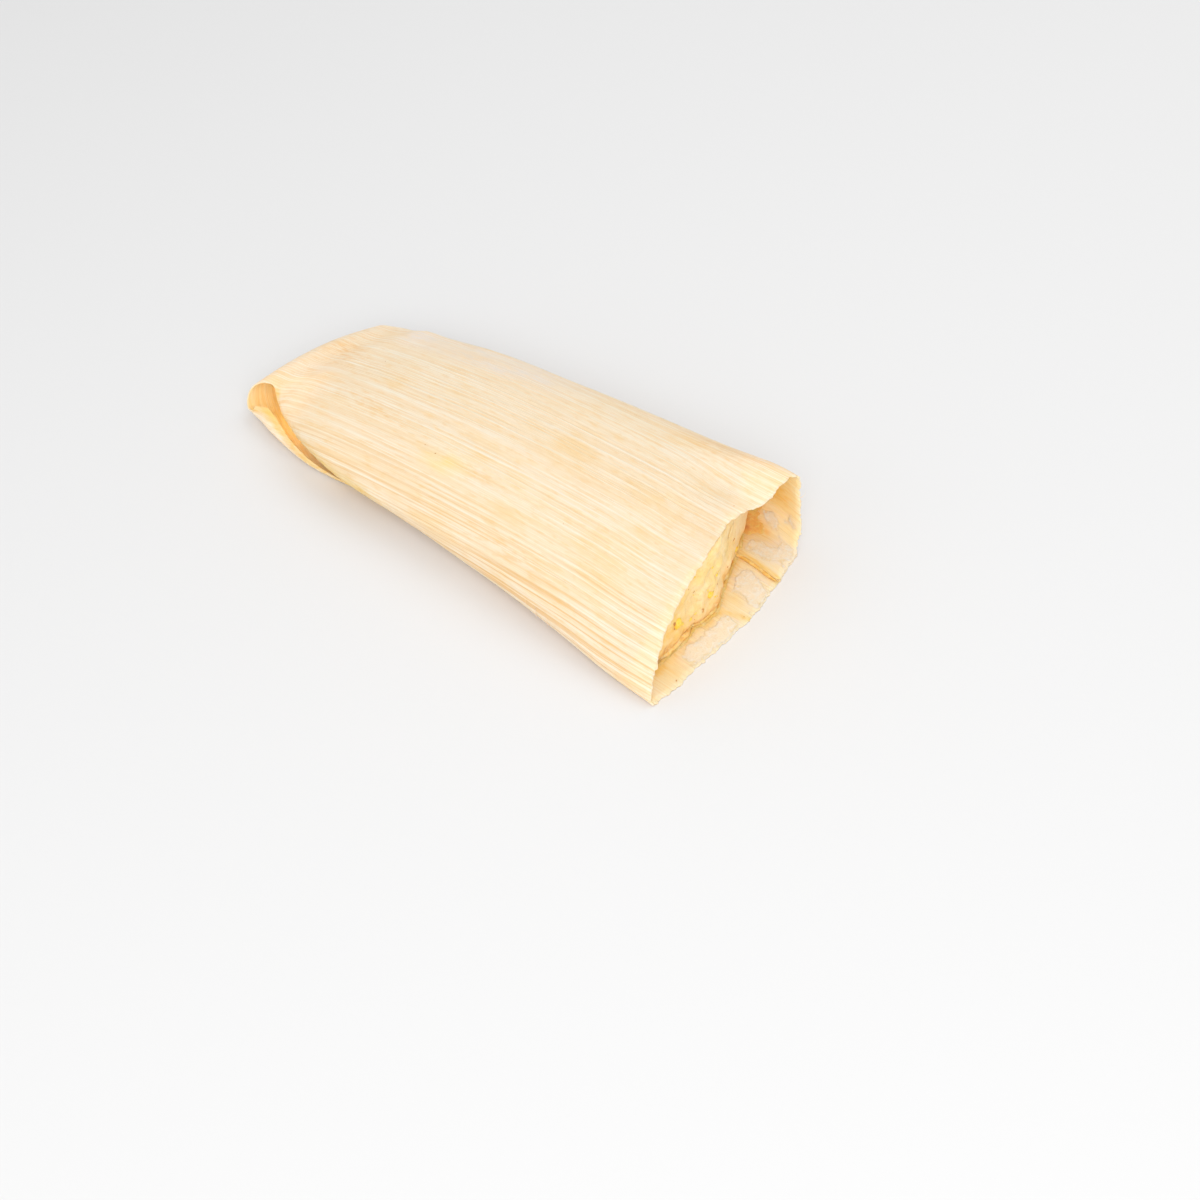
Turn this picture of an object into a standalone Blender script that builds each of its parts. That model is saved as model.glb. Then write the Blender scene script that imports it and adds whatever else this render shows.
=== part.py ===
"""A tamale: a loaf of maize dough in one dried maize husk.

The husk is a single sheet. It wraps once round the dough with its two long edges
lapped underneath, stays open at one end (the mouth, at +X), and narrows to a leaf
at the other end, which turns under the loaf and lies flat beneath it.

Sizes are millimetres until the meshes are made. Z is up, the tamale lies on z = 0,
and its box is centred on the origin in X and Y.
"""
import bmesh
import bpy
import numpy as np
from mathutils import Matrix, Vector

MM = 0.001
NAME = "tamale"

# The husk sheet.
HUSK_THICKNESS = 0.5
LIE = HUSK_THICKNESS / 2        # height of the sheet's middle where it lies on the table
LAP_SPACING = 0.95              # between the middles of two lapped layers
LAP_TURNS = (0.15, 0.60)        # the inner layer comes out to the section over these turns
LAP_RUN = (-66.0, -50.0)        # and over these X as the lap ends
HUSK_COLOUR = (0.85, 0.68, 0.42)
HUSK_ROUGHNESS = 0.55

# Positions along the tamale, from the fold's start line (0) towards the mouth (+).
LENGTH = 143.4
FOLD_X = -70.4
FOLD_SKEW = np.radians(13.0)   # the fold line isn't square to the loaf
SKEW_RUN = (-14.0, -64.0)
FOLD_RADIUS = 6.6
LEAF_LENGTH = 79.0             # from the fold's start, round the turn and back under

# Cross-sections of the wrap, at stations along X. A section is four quarters of
# superellipse, between the crown, the far side, the lowest line and the near side.
STATIONS = (-70.4, -64.0, -58.0, -46.0, -32.0, -8.0, 14.0, 40.0, 60.0, 73.0)
NEAR_Y = (-15.1, -18.6, -21.3, -25.8, -28.6, -29.6, -30.6, -33.0, -35.0, -35.5)
FAR_Y = (22.5, 26.0, 26.8, 28.4, 30.0, 31.4, 33.0, 34.0, 33.2, 31.0)
CROWN_Y = (1.0, 1.0, 1.0, 1.0, 1.0, 1.0, 1.0, 2.0, 2.0, 0.0)
CROWN_Z = (13.4, 15.0, 16.1, 18.4, 20.2, 22.4, 23.0, 22.6, 21.5, 21.3)
LOW_Z = (7.2, 5.4, 4.2, 2.7, 2.1, 1.5, -0.5, -0.5, -0.5, -0.5)
NEAR_Z = (9.2, 9.2, 9.3, 9.5, 9.5, 9.2, 8.6, 6.6, 3.5, 1.3)
FAR_Z = (9.8, 9.9, 10.2, 11.2, 12.0, 12.0, 12.0, 12.0, 12.0, 12.0)
NEAR_TOP_POWER = (2.2, 2.2, 2.2, 2.1, 2.1, 2.0, 2.0, 1.9, 1.7, 1.6)
FAR_TOP_POWER = (2.6, 3.0, 2.8, 2.4, 2.2, 2.2, 2.3, 2.6, 3.6, 5.5)
LOW_POWER = (2.6, 2.6, 2.7, 2.8, 3.0, 3.1, 3.3, 3.7, 4.2, 5.0)

# A shallow flute that runs back from the mouth along the top, and the far corner's lift.
FLUTE_DEPTH = 2.2
FLUTE_Y = 18.0
FLUTE_WIDTH = 6.0
LIFT = 3.4
LIFT_Y = (17.0, 29.0)
FLUTE_RUN = (30.0, 70.0)

# Turns round the wrap: 0 lowest line, 0.25 far side, 0.5 crown, 0.75 near side.
INNER_EDGE = 0.09
OUTER_EDGE = 1.16
LEAF_TURNS = (0.23, 0.77)      # what is left of the wrap where the fold starts
KEPT_TURNS = (0.30, 0.68)      # columns that run straight on into the leaf
NEAR_NARROWING = (-30.0, -60.0)   # X between which each edge draws in to the leaf
FAR_NARROWING = (-47.0, -66.0)

# How far the mouth's edge is cut back behind the lower lip, round the wrap.
CUT_TURNS = (0.00, 0.09, 0.25, 0.31, 0.42, 0.55, 0.65, 0.75, 0.80, 1.00)
CUT_BACK = (0.0, 2.2, 7.2, 7.6, 11.0, 8.5, 5.7, 1.6, 0.5, 0.0)
CUT_RUN = (34.0, 73.0)
RAGGED = 0.45                  # height of the torn edge's waves
RAGGED_WAVES = (61.0, 23.0)    # two rates round the wrap, multiplied
RAGGED_RUN = (66.0, 73.0)

# The leaf past the fold line: its two edges, measured across from the loaf's axis, how far
# its near edge rolls up, and how much it arches. BLEND is how early the wrap turns into it.
BLEND = 12.0
LEAF_STEPS = (-10.0, -5.0, 0.0, 5.0, 10.0, 13.5, 15.7, 18.0, 21.0, 24.0, 28.0, 35.0, 43.0, 53.0,
              63.0, 73.0, 79.0)
LEAF_NEAR = (-19.0, -17.0, -15.1, -17.6, -20.0, -21.4, -22.0, -21.9, -21.8, -21.8, -22.0,
             -21.9, -21.3, -18.6, -14.0, -8.5, -4.0)
LEAF_FAR = (28.5, 28.2, 24.0, 21.4, 21.2, 21.2, 21.4, 21.8, 22.4, 23.0, 23.6, 23.4, 21.8, 18.3,
            12.4, 5.5, 0.0)
ROLL_RADIUS = (3.4, 3.4, 3.4, 3.4, 3.4, 3.4, 3.4, 3.4, 3.4, 3.4, 3.3, 3.2, 2.8, 1.9, 1.2, 1.0,
               1.0)
ROLL_DEGREES = (5.0, 5.0, 5.0, 6.0, 10.0, 28.0, 52.0, 88.0, 130.0, 158.0, 160.0, 138.0, 120.0,
                95.0, 35.0, 5.0, 2.0)
ARCH_DROP = (4.2, 3.6, 3.2, 1.9, 1.3, 1.0, 0.9, 0.8, 0.7, 0.7, 0.6, 0.5, 0.5, 0.4, 0.3, 0.2, 0.1)

# The dough.
DOUGH_COLOUR = (0.90, 0.66, 0.28)
DOUGH_ROUGHNESS = 0.6
DOUGH_INSET = 1.80             # from the wrap's middle surface
DOUGH_REAR_X = -61.0
DOUGH_FRONT_X = 65.0
DOUGH_FACE_Y = (-34.0, -20.0, -6.0, 2.0, 8.0, 16.0, 22.0, 25.0, 32.0)
DOUGH_FACE_X = (64.0, 65.0, 66.0, 64.2, 61.0, 57.7, 54.0, 50.5, 46.0)
DOUGH_FACE_RUN = (20.0, 65.0)
REAR_CAP_LENGTH = 15.0
FRONT_CAP_LENGTH = 3.5
REAR_CAP_POWER = 2.4
FRONT_CAP_POWER = 4.5

# Mesh density.
QUARTER_SAMPLES = 61
TANGENT_REACH = 0.012          # turns to each side when the sheet's direction is taken
WRAP_ROWS = 20
TURN_ROWS = 11
TAIL_ROWS = 8
COLUMNS = 42
SIDE_CROWDING = 0.6            # columns gather at the tight bends of the two sides
CROWDING_SHIFT = 0.02
END_CROWDING = 0.35            # and rows towards the two ends of the wrap
DOUGH_SEGMENTS = 36
DOUGH_RINGS = 20
REAR_CAP_SHARE = 0.30          # of the rings
FRONT_CAP_SHARE = 0.30


def smooth_through(keys, values, at):
    """Monotone cubic curve through (key, value) pairs."""
    k = np.asarray(keys, float)
    v = np.asarray(values, float)
    step = np.diff(k)
    slope = np.diff(v) / step
    tangent = np.zeros_like(v)
    tangent[0] = slope[0]
    tangent[-1] = slope[-1]
    for i in range(1, len(v) - 1):
        if slope[i - 1] * slope[i] > 0:
            before = 2 * step[i] + step[i - 1]
            after = step[i] + 2 * step[i - 1]
            tangent[i] = (before + after) / (before / slope[i - 1] + after / slope[i])
    x = np.clip(np.asarray(at, float), k[0], k[-1])
    i = np.clip(np.searchsorted(k, x, side="right") - 1, 0, len(k) - 2)
    t = (x - k[i]) / step[i]
    return (
        (2 * t**3 - 3 * t**2 + 1) * v[i]
        + (t**3 - 2 * t**2 + t) * step[i] * tangent[i]
        + (3 * t**2 - 2 * t**3) * v[i + 1]
        + (t**3 - t**2) * step[i] * tangent[i + 1]
    )


def ease(value, start, end):
    """0 at start, 1 at end, level at both."""
    t = np.clip((np.asarray(value, float) - start) / (end - start), 0.0, 1.0)
    return t * t * (3 - 2 * t)


def quarter(power):
    """Cosine-like and sine-like sides of one quarter of a superellipse."""
    angle = np.linspace(0, np.pi / 2, QUARTER_SAMPLES)
    return np.cos(angle) ** (2 / power), np.sin(angle) ** (2 / power)


def section_quarters(x):
    """The four quarters of the wrap's section at x, each a list of (y, z)."""
    near_y, far_y, crown_y, crown_z, low_z, near_z, far_z, near_power, far_power, low_power = (
        float(smooth_through(STATIONS, row, x))
        for row in (NEAR_Y, FAR_Y, CROWN_Y, CROWN_Z, LOW_Z, NEAR_Z, FAR_Z,
                    NEAR_TOP_POWER, FAR_TOP_POWER, LOW_POWER)
    )
    wide, high = quarter(low_power)
    far_under = np.stack([crown_y + (far_y - crown_y) * wide, far_z - (far_z - low_z) * high], 1)
    near_under = np.stack([crown_y + (near_y - crown_y) * wide, near_z - (near_z - low_z) * high], 1)
    wide, high = quarter(far_power)
    far_top = np.stack([crown_y + (far_y - crown_y) * wide, far_z + (crown_z - far_z) * high], 1)
    wide, high = quarter(near_power)
    near_top = np.stack([crown_y + (near_y - crown_y) * wide, near_z + (crown_z - near_z) * high], 1)
    quarters = [far_under[::-1], far_top, near_top[::-1], near_under]
    for points in quarters:
        upper = np.clip((points[:, 1] - far_z) / (crown_z - far_z), 0, 1)
        flute = FLUTE_DEPTH * np.exp(-(((points[:, 0] - FLUTE_Y) / FLUTE_WIDTH) ** 2))
        lift = LIFT * ease(points[:, 0], *LIFT_Y)
        points[:, 1] += (lift - flute) * ease(x, *FLUTE_RUN) * upper
        points[:, 1] = np.maximum(points[:, 1], LIE)
    return quarters


def along(points, fraction):
    """Points at fractions of a line's length."""
    steps = np.linalg.norm(np.diff(points, axis=0), axis=1)
    length = np.concatenate([[0], np.cumsum(steps)])
    at = np.asarray(fraction) * length[-1]
    return np.stack([np.interp(at, length, points[:, i]) for i in (0, 1)], -1)


def section(x, turns, inset):
    """(y, z) round the wrap at x, set in from its middle surface by inset."""
    turns = np.asarray(turns, float)
    quarters = section_quarters(x)

    def place(turn):
        wrapped = (turn % 1.0) * 4
        index = np.minimum(wrapped.astype(int), 3)
        spots = [along(points, np.clip(wrapped - i, 0, 1)) for i, points in enumerate(quarters)]
        return np.choose(index[..., None], spots)

    tangent = place(turns + TANGENT_REACH) - place(turns - TANGENT_REACH)
    tangent /= np.linalg.norm(tangent, axis=-1, keepdims=True)
    inward = np.stack([-tangent[..., 1], tangent[..., 0]], -1)
    return place(turns) + inward * np.asarray(inset)[..., None]


def skew(x, y):
    """How far a point is carried along X because the fold line runs aslant."""
    return np.tan(FOLD_SKEW) * y * ease(x, *SKEW_RUN)


def cut_back(x, turn):
    """How far a point is drawn back along X because the mouth's edge slants."""
    return smooth_through(CUT_TURNS, CUT_BACK, turn) * ease(x, *CUT_RUN)


def wrap_row(x, turns):
    """Points of the husk across one row of the wrap."""
    lap = LAP_SPACING * (1 - ease(turns, *LAP_TURNS)) * ease(x, *LAP_RUN)
    flat = section(x, turns, lap)
    around = turns % 1.0
    fine, coarse = RAGGED_WAVES
    torn = RAGGED * np.sin(around * fine) * np.sin(around * coarse + 1.0) * ease(x, *RAGGED_RUN)
    along_x = x - cut_back(x, around) + torn + skew(x, flat[:, 0])
    return np.stack([along_x, flat[:, 0], flat[:, 1]], -1)


def leaf_row(step, across):
    """Points of the leaf across one row, across = 0 at its far edge, 1 at its near edge."""
    near, far, radius, roll, drop = (
        float(smooth_through(LEAF_STEPS, row, step))
        for row in (LEAF_NEAR, LEAF_FAR, ROLL_RADIUS, ROLL_DEGREES, ARCH_DROP)
    )
    roll = np.radians(roll)
    roll_start = near + radius * np.sin(min(roll, np.pi / 2))
    flat_width = far - roll_start
    run = across * (flat_width + radius * roll)
    angle = np.clip((run - flat_width) / radius, 0, None)
    side = far - np.minimum(run, flat_width) - radius * np.sin(angle)
    middle = (far + near) / 2
    arch = drop * ((side - middle) / (far - middle)) ** 2
    inward = -np.clip(arch, 0, drop) - radius * (1 - np.cos(angle))
    around = np.clip(step / FOLD_RADIUS, 0, np.pi)
    reach = FOLD_RADIUS + inward
    axis_z = LIE + FOLD_RADIUS
    outward = min(step, 0) + np.sin(around) * reach - max(step - np.pi * FOLD_RADIUS, 0)
    ahead = np.array([-np.cos(FOLD_SKEW), np.sin(FOLD_SKEW)])
    beside = np.array([np.sin(FOLD_SKEW), np.cos(FOLD_SKEW)])
    plan = np.array([FOLD_X, 0.0]) + outward[:, None] * ahead + side[:, None] * beside
    return np.concatenate([plan, (axis_z + np.cos(around) * reach)[:, None]], -1)


def narrowed(turns, x):
    """Turns after the wrap has narrowed towards the leaf at x."""
    first = INNER_EDGE + (LEAF_TURNS[0] - INNER_EDGE) * ease(x, *FAR_NARROWING)
    last = OUTER_EDGE + (LEAF_TURNS[1] - OUTER_EDGE) * ease(x, *NEAR_NARROWING)
    keys = (INNER_EDGE, *KEPT_TURNS, OUTER_EDGE)
    return np.interp(turns, keys, (first, *KEPT_TURNS, last))


def husk_row(step, turns):
    """Points across the husk, step millimetres past the fold's start line."""
    across = (narrowed(turns, FOLD_X) - LEAF_TURNS[0]) / (LEAF_TURNS[1] - LEAF_TURNS[0])
    if step >= 0:
        return leaf_row(step, across)
    x = FOLD_X - step
    wrap = wrap_row(x, narrowed(turns, x))
    share = ease(step, -BLEND, 0.0)
    if share == 0:
        return wrap
    return wrap + (leaf_row(step, across) - wrap) * share


def row_steps():
    """Places of the rows: the wrap, the turn, and the tail that lies underneath."""
    turn = np.pi * FOLD_RADIUS
    even = np.linspace(0, 1, WRAP_ROWS, endpoint=False)
    crowded = even - END_CROWDING * np.sin(2 * np.pi * even) / (2 * np.pi)
    wrap = LENGTH * (crowded - 1)
    bend = np.linspace(0, turn, TURN_ROWS, endpoint=False)
    tail = np.linspace(turn, LEAF_LENGTH, TAIL_ROWS + 1)
    return np.concatenate([wrap, bend, tail])


def column_turns():
    """Places of the columns round the wrap, closer together at the two sides."""
    even = np.linspace(INNER_EDGE, OUTER_EDGE, COLUMNS + 1)
    turns = even + SIDE_CROWDING * np.sin(4 * np.pi * (even - CROWDING_SHIFT)) / (4 * np.pi)
    turns = (turns - turns[0]) / (turns[-1] - turns[0])
    return INNER_EDGE + (OUTER_EDGE - INNER_EDGE) * turns


def new_collection(name):
    collection = bpy.data.collections.new(name)
    bpy.context.scene.collection.children.link(collection)
    return collection


def food_material(name, colour, roughness):
    material = bpy.data.materials.new(name)
    material.use_nodes = True
    shader = material.node_tree.nodes["Principled BSDF"]
    shader.inputs["Base Color"].default_value = (*colour, 1.0)
    shader.inputs["Roughness"].default_value = roughness
    shader.inputs["Metallic"].default_value = 0.0
    return material


def new_object(name, mesh_builder, material, collection):
    mesh = bpy.data.meshes.new(name)
    mesh_builder.to_mesh(mesh)
    mesh_builder.free()
    mesh.materials.append(material)
    mesh.shade_smooth()
    obj = bpy.data.objects.new(name, mesh)
    collection.objects.link(obj)
    return obj


def make_husk(collection):
    """One sheet of husk: a grid laid along the rows and columns, then given thickness."""
    steps = row_steps()
    turns = column_turns()
    points = np.array([husk_row(step, turns) for step in steps])
    bm = bmesh.new()
    bmesh.ops.create_grid(bm, x_segments=len(steps) - 1, y_segments=len(turns) - 1, size=0.5)
    for vert in bm.verts:
        row = round((vert.co.x + 0.5) * (len(steps) - 1))
        column = round((vert.co.y + 0.5) * (len(turns) - 1))
        vert.co = points[row, column] * MM
    material = food_material("corn_husk", HUSK_COLOUR, HUSK_ROUGHNESS)
    husk = new_object("husk", bm, material, collection)
    shell = husk.modifiers.new("thickness", "SOLIDIFY")
    shell.thickness = HUSK_THICKNESS * MM
    shell.offset = 0.0
    return husk


def dough_ring(level):
    """Place along the dough (0 rear, 1 front) and width of a ring, level 0 to 1."""
    length = DOUGH_FRONT_X - DOUGH_REAR_X
    rear = REAR_CAP_LENGTH / length
    front = FRONT_CAP_LENGTH / length
    if level < REAR_CAP_SHARE:
        angle = (1 - level / REAR_CAP_SHARE) * np.pi / 2
        power = 2 / REAR_CAP_POWER
        return rear * (1 - np.sin(angle) ** power), np.cos(angle) ** power
    if level > 1 - FRONT_CAP_SHARE:
        angle = (level - 1 + FRONT_CAP_SHARE) / FRONT_CAP_SHARE * np.pi / 2
        power = 2 / FRONT_CAP_POWER
        return 1 - front * (1 - np.sin(angle) ** power), max(np.cos(angle), 0) ** power
    share = (level - REAR_CAP_SHARE) / (1 - REAR_CAP_SHARE - FRONT_CAP_SHARE)
    return rear + (1 - front - rear) * share, 1.0


def dough_outline(x, turn, width):
    """(y, z) of the dough's skin inside the wrap at x; width 0 is the middle of the section."""
    station = x + cut_back(x, turn)
    ring = section(station, np.append(np.arange(0, 1, 0.25), turn), np.full(5, DOUGH_INSET))
    middle = ring[:4].mean(axis=0)
    return middle + (ring[4] - middle) * width


def dough_point(direction):
    """A point of the dough's skin for a direction from its middle, whose poles lie along X."""
    level = 0.5 + np.arcsin(np.clip(direction.z, -1, 1)) / np.pi
    turn = np.arctan2(direction.y, direction.x) / (2 * np.pi) % 1.0
    place, width = dough_ring(level)
    x = DOUGH_REAR_X + (DOUGH_FRONT_X - DOUGH_REAR_X) * place
    y, _ = dough_outline(x, turn, width)
    face_x = smooth_through(DOUGH_FACE_Y, DOUGH_FACE_X, y)
    x -= (DOUGH_FRONT_X - face_x) * ease(x, *DOUGH_FACE_RUN)
    y, z = dough_outline(x, turn, width)
    return x + skew(x, y), y, z


def make_dough(collection):
    """The dough: a sphere drawn out along the wrap, blunt where it shows in the mouth."""
    bm = bmesh.new()
    bmesh.ops.create_uvsphere(bm, u_segments=DOUGH_SEGMENTS, v_segments=DOUGH_RINGS, radius=1.0)
    for vert in bm.verts:
        vert.co = np.array(dough_point(vert.co)) * MM
    bmesh.ops.recalc_face_normals(bm, faces=bm.faces)
    material = food_material("masa", DOUGH_COLOUR, DOUGH_ROUGHNESS)
    return new_object("masa", bm, material, collection)


def centre_on_origin(objects):
    """Move the pieces together so that their box is centred in X and Y and stands on z = 0."""
    bpy.context.view_layer.update()
    corners = [obj.matrix_world @ Vector(corner) for obj in objects for corner in obj.bound_box]
    low = Vector(min(corner[i] for corner in corners) for i in range(3))
    high = Vector(max(corner[i] for corner in corners) for i in range(3))
    shift = Matrix.Translation((-(low.x + high.x) / 2, -(low.y + high.y) / 2, -low.z))
    for obj in objects:
        obj.data.transform(shift)


def main():
    for obj in list(bpy.data.objects):
        bpy.data.objects.remove(obj, do_unlink=True)
    tamale = new_collection(NAME)
    husk = make_husk(tamale)
    masa = make_dough(tamale)
    centre_on_origin([husk, masa])


main()
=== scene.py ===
import math

import bmesh
import bpy
import numpy as np
from mathutils import Matrix, Vector


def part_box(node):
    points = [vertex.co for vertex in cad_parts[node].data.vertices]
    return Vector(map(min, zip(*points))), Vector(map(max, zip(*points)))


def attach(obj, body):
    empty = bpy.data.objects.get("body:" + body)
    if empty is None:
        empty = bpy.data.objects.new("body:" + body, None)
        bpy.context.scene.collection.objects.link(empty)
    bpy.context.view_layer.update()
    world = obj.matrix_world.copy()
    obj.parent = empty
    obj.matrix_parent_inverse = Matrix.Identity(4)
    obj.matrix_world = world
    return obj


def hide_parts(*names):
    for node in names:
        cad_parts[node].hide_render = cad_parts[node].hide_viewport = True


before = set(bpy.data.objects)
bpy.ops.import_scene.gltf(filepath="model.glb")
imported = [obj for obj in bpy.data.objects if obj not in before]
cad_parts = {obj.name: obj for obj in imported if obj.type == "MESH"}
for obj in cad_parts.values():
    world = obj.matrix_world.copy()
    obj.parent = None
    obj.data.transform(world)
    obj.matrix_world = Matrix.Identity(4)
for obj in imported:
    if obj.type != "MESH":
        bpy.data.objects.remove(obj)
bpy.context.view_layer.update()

MM = 0.001

# ---- sizes of the husk

SHEET = 0.42                   # thickness of the sheet
LIE = 0.25                     # its middle, where it lies on the table
LOWEST = 0.02                  # no point of the husk is lower than this
LAP_SPACING = 0.95             # between the two layers of the lap
LAP_TURNS = (0.15, 0.60)
LAP_RUN = (-66.0, -50.0)
LENGTH = 143.4                 # of the wrap, from the mouth to the fold
FOLD_X = -70.4
FOLD_SKEW = np.radians(13.0)   # the fold line runs aslant
SKEW_RUN = (-14.0, -64.0)
FOLD_RADIUS = 6.6
LEAF_LENGTH = 79.0             # of the tail that is folded under

# Cross-sections of the wrap at stations along X: four quarters of superellipse.
STATIONS = (-70.4, -64.0, -58.0, -46.0, -32.0, -8.0, 14.0, 40.0, 60.0, 73.0)
NEAR_Y = (-15.1, -18.6, -21.3, -25.8, -28.6, -29.6, -30.6, -33.0, -35.0, -35.5)
FAR_Y = (22.5, 26.0, 26.8, 28.4, 30.0, 31.4, 33.0, 34.0, 33.2, 31.0)
CROWN_Y = (*(1.0,) * 7, 2.0, 2.0, 0.0)
CROWN_Z = (13.4, 15.0, 16.1, 18.4, 20.2, 22.4, 23.0, 22.6, 21.5, 21.3)
LOW_Z = (7.2, 5.4, 4.2, 2.7, 2.1, 1.5, -0.5, -0.5, -0.5, -0.5)
NEAR_Z = (9.2, 9.2, 9.3, 9.5, 9.5, 9.2, 8.6, 6.6, 3.5, 1.3)
FAR_Z = (9.8, 9.9, 10.2, 11.2, *(12.0,) * 6)
NEAR_TOP_POWER = (2.2, 2.2, 2.2, 2.1, 2.1, 2.0, 2.0, 1.9, 1.7, 1.6)
FAR_TOP_POWER = (2.6, 3.0, 2.8, 2.4, 2.2, 2.2, 2.3, 2.6, 3.6, 5.5)
LOW_POWER = (2.6, 2.6, 2.7, 2.8, 3.0, 3.1, 3.3, 3.7, 4.2, 5.0)
FLUTE_DEPTH = 2.2              # a shallow flute along the top, near the mouth
FLUTE_Y = 18.0
FLUTE_WIDTH = 6.0
LIFT = 3.4                     # and the rise of the top beside it, on the far side
LIFT_Y = (17.0, 29.0)
FLUTE_RUN = (30.0, 70.0)

# Turns round the wrap: 0 lowest line, 0.25 far side, 0.5 crown, 0.75 near side.
INNER_EDGE = 0.09
OUTER_EDGE = 1.16
LEAF_TURNS = (0.23, 0.77)
KEPT_TURNS = (0.30, 0.68)
NEAR_NARROWING = (-30.0, -60.0)
FAR_NARROWING = (-47.0, -66.0)
CUT_TURNS = (0.00, 0.09, 0.25, 0.31, 0.42, 0.55, 0.65, 0.75, 0.80, 1.00)
CUT_BACK = (0.0, 2.2, 7.2, 7.6, 11.0, 8.5, 5.7, 1.6, 0.5, 0.0)
CUT_RUN = (34.0, 73.0)
TEAR_RUN = (60.0, 73.0)
TEAR_GIRTH = 160.0             # millimetres of tear for one turn

# The leaf past the fold line, by steps from the fold's start.
BLEND = 12.0
LEAF_STEPS = (-10.0, -5.0, 0.0, 5.0, 10.0, 13.5, 15.7, 18.0, 21.0, 24.0, 28.0, 35.0, 43.0, 53.0,
              63.0, 73.0, 79.0)
LEAF_NEAR = (-19.0, -17.0, -15.1, -17.6, -20.0, -21.4, -22.0, -21.9, -21.8, -21.8, -22.0,
             -21.9, -21.3, -18.6, -14.0, -8.5, -4.0)
LEAF_FAR = (28.5, 28.2, 24.0, 21.4, 21.2, 21.2, 21.4, 21.8, 22.4, 23.0, 23.6, 23.4, 21.8, 18.3,
            12.4, 5.5, 0.0)
ROLL_RADIUS = (*(3.4,) * 10, 3.3, 3.2, 2.8, 1.9, 1.2, 1.0, 1.0)
ROLL_DEGREES = (5.0, 5.0, 5.0, 6.0, 10.0, 28.0, 52.0, 88.0, 130.0, 158.0, 160.0, 138.0, 120.0,
                95.0, 35.0, 5.0, 2.0)
ARCH_DROP = (4.2, 3.6, 3.2, 1.9, 1.3, 1.0, 0.9, 0.8, 0.7, 0.7, 0.6, 0.5, 0.5, 0.4, 0.3, 0.2, 0.1)

# Density of the sheet, and its relief.
QUARTER_POINTS = 121
TANGENT_REACH = 0.012          # turns to either side
COLUMNS = 600
WRAP_ROWS = 48
ROW_CROWDING = 0.45            # rows are this much closer at the wrap's two ends
TURN_ROWS = 15
TAIL_ROWS = 14
WRAP_GIRTH = 157.0             # once round the wrap at its middle
RIB_PITCH = 1.25               # between the husk's main veins
RIB_HEIGHT = 0.080
NEAR_RIB_GAIN = 0.45           # more height for the ribs bunched at the near side,
NEAR_RIBS = (22.0, 34.0)       # this far across from the crown
RIPPLE_WIDTH = 7.0             # soft lengthwise ripples of a sheet that dried and was soaked
RIPPLE_HEIGHT = 0.20
FINE_WIDTH = 2.6
FINE_HEIGHT = 0.09
LYING_Z = (2.2, 0.6)           # the relief fades where the sheet comes to lie on the table,
CALM_STEPS = (-48.0, -22.0)    # and most of it before the fold
CALM_SHARE = 0.8

# The dough inside.
DOUGH_INSET = 0.50
DOUGH_REAR_X = -61.0
DOUGH_FRONT_X = 65.0
DOUGH_FACE_Y = (-34.0, -20.0, -10.5, -8.0, -2.0, 5.0, 13.0, 18.0, 23.0, 26.0, 32.0)
DOUGH_FACE_X = (64.2, 64.6, 63.7, 64.8, 64.8, 61.2, 58.1, 56.2, 54.2, 51.3, 46.0)
DOUGH_FACE_RUN = (20.0, 65.0)
DOUGH_STATIONS = (-66.0, 78.0, 241)      # along X: first, last and how many
LAP_STEP = (0.078, 0.100)      # turns over which the dough steps up onto the inner lap
REAR_CAP_LENGTH = 15.0
FRONT_CAP_LENGTH = 1.7
REAR_CAP_POWER = 2.4
FRONT_CAP_POWER = 6.0
FRONT_RIM_SHARE = 0.22         # of the front cap's rings, spent on its rounded rim
FRONT_RIM_ANGLE = np.radians(40)
DOUGH_SEGMENTS = 300
DOUGH_RINGS = 160
REAR_CAP_SHARE = 0.10
FRONT_CAP_SHARE = 0.66


# ---- curves and patterns

def smooth_through(keys, values, at):
    """Monotone cubic curve through (key, value) pairs."""
    k = np.asarray(keys, float)
    v = np.asarray(values, float)
    step = np.diff(k)
    slope = np.diff(v) / step
    tangent = np.zeros_like(v)
    tangent[0] = slope[0]
    tangent[-1] = slope[-1]
    for i in range(1, len(v) - 1):
        if slope[i - 1] * slope[i] > 0:
            before = 2 * step[i] + step[i - 1]
            after = step[i] + 2 * step[i - 1]
            tangent[i] = (before + after) / (before / slope[i - 1] + after / slope[i])
    x = np.clip(np.asarray(at, float), k[0], k[-1])
    i = np.clip(np.searchsorted(k, x, side="right") - 1, 0, len(k) - 2)
    t = (x - k[i]) / step[i]
    return (
        (2 * t**3 - 3 * t**2 + 1) * v[i]
        + (t**3 - 2 * t**2 + t) * step[i] * tangent[i]
        + (3 * t**2 - 2 * t**3) * v[i + 1]
        + (t**3 - t**2) * step[i] * tangent[i + 1]
    )


def read_at(place, keys, *tables):
    """What each table says at one place between its keys."""
    return (float(smooth_through(keys, table, place)) for table in tables)


def ease(value, start, end):
    """0 at start, 1 at end, level at both."""
    t = np.clip((np.asarray(value, float) - start) / (end - start), 0.0, 1.0)
    return t * t * (3 - 2 * t)


def bell(value, centre, width):
    """1 at the centre, next to nothing two widths away."""
    return np.exp(-(((value - centre) / width) ** 2))


def together(*parts):
    """Coordinates given one by one, as points."""
    return np.stack(np.broadcast_arrays(*parts), -1)


def between(start, end, share):
    """The place at a share of the way from start to end."""
    return start * (1 - share) + end * share


def unit(vectors):
    """The same directions, one unit long."""
    return vectors / np.maximum(np.linalg.norm(vectors, axis=-1, keepdims=True), 1e-9)


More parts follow.
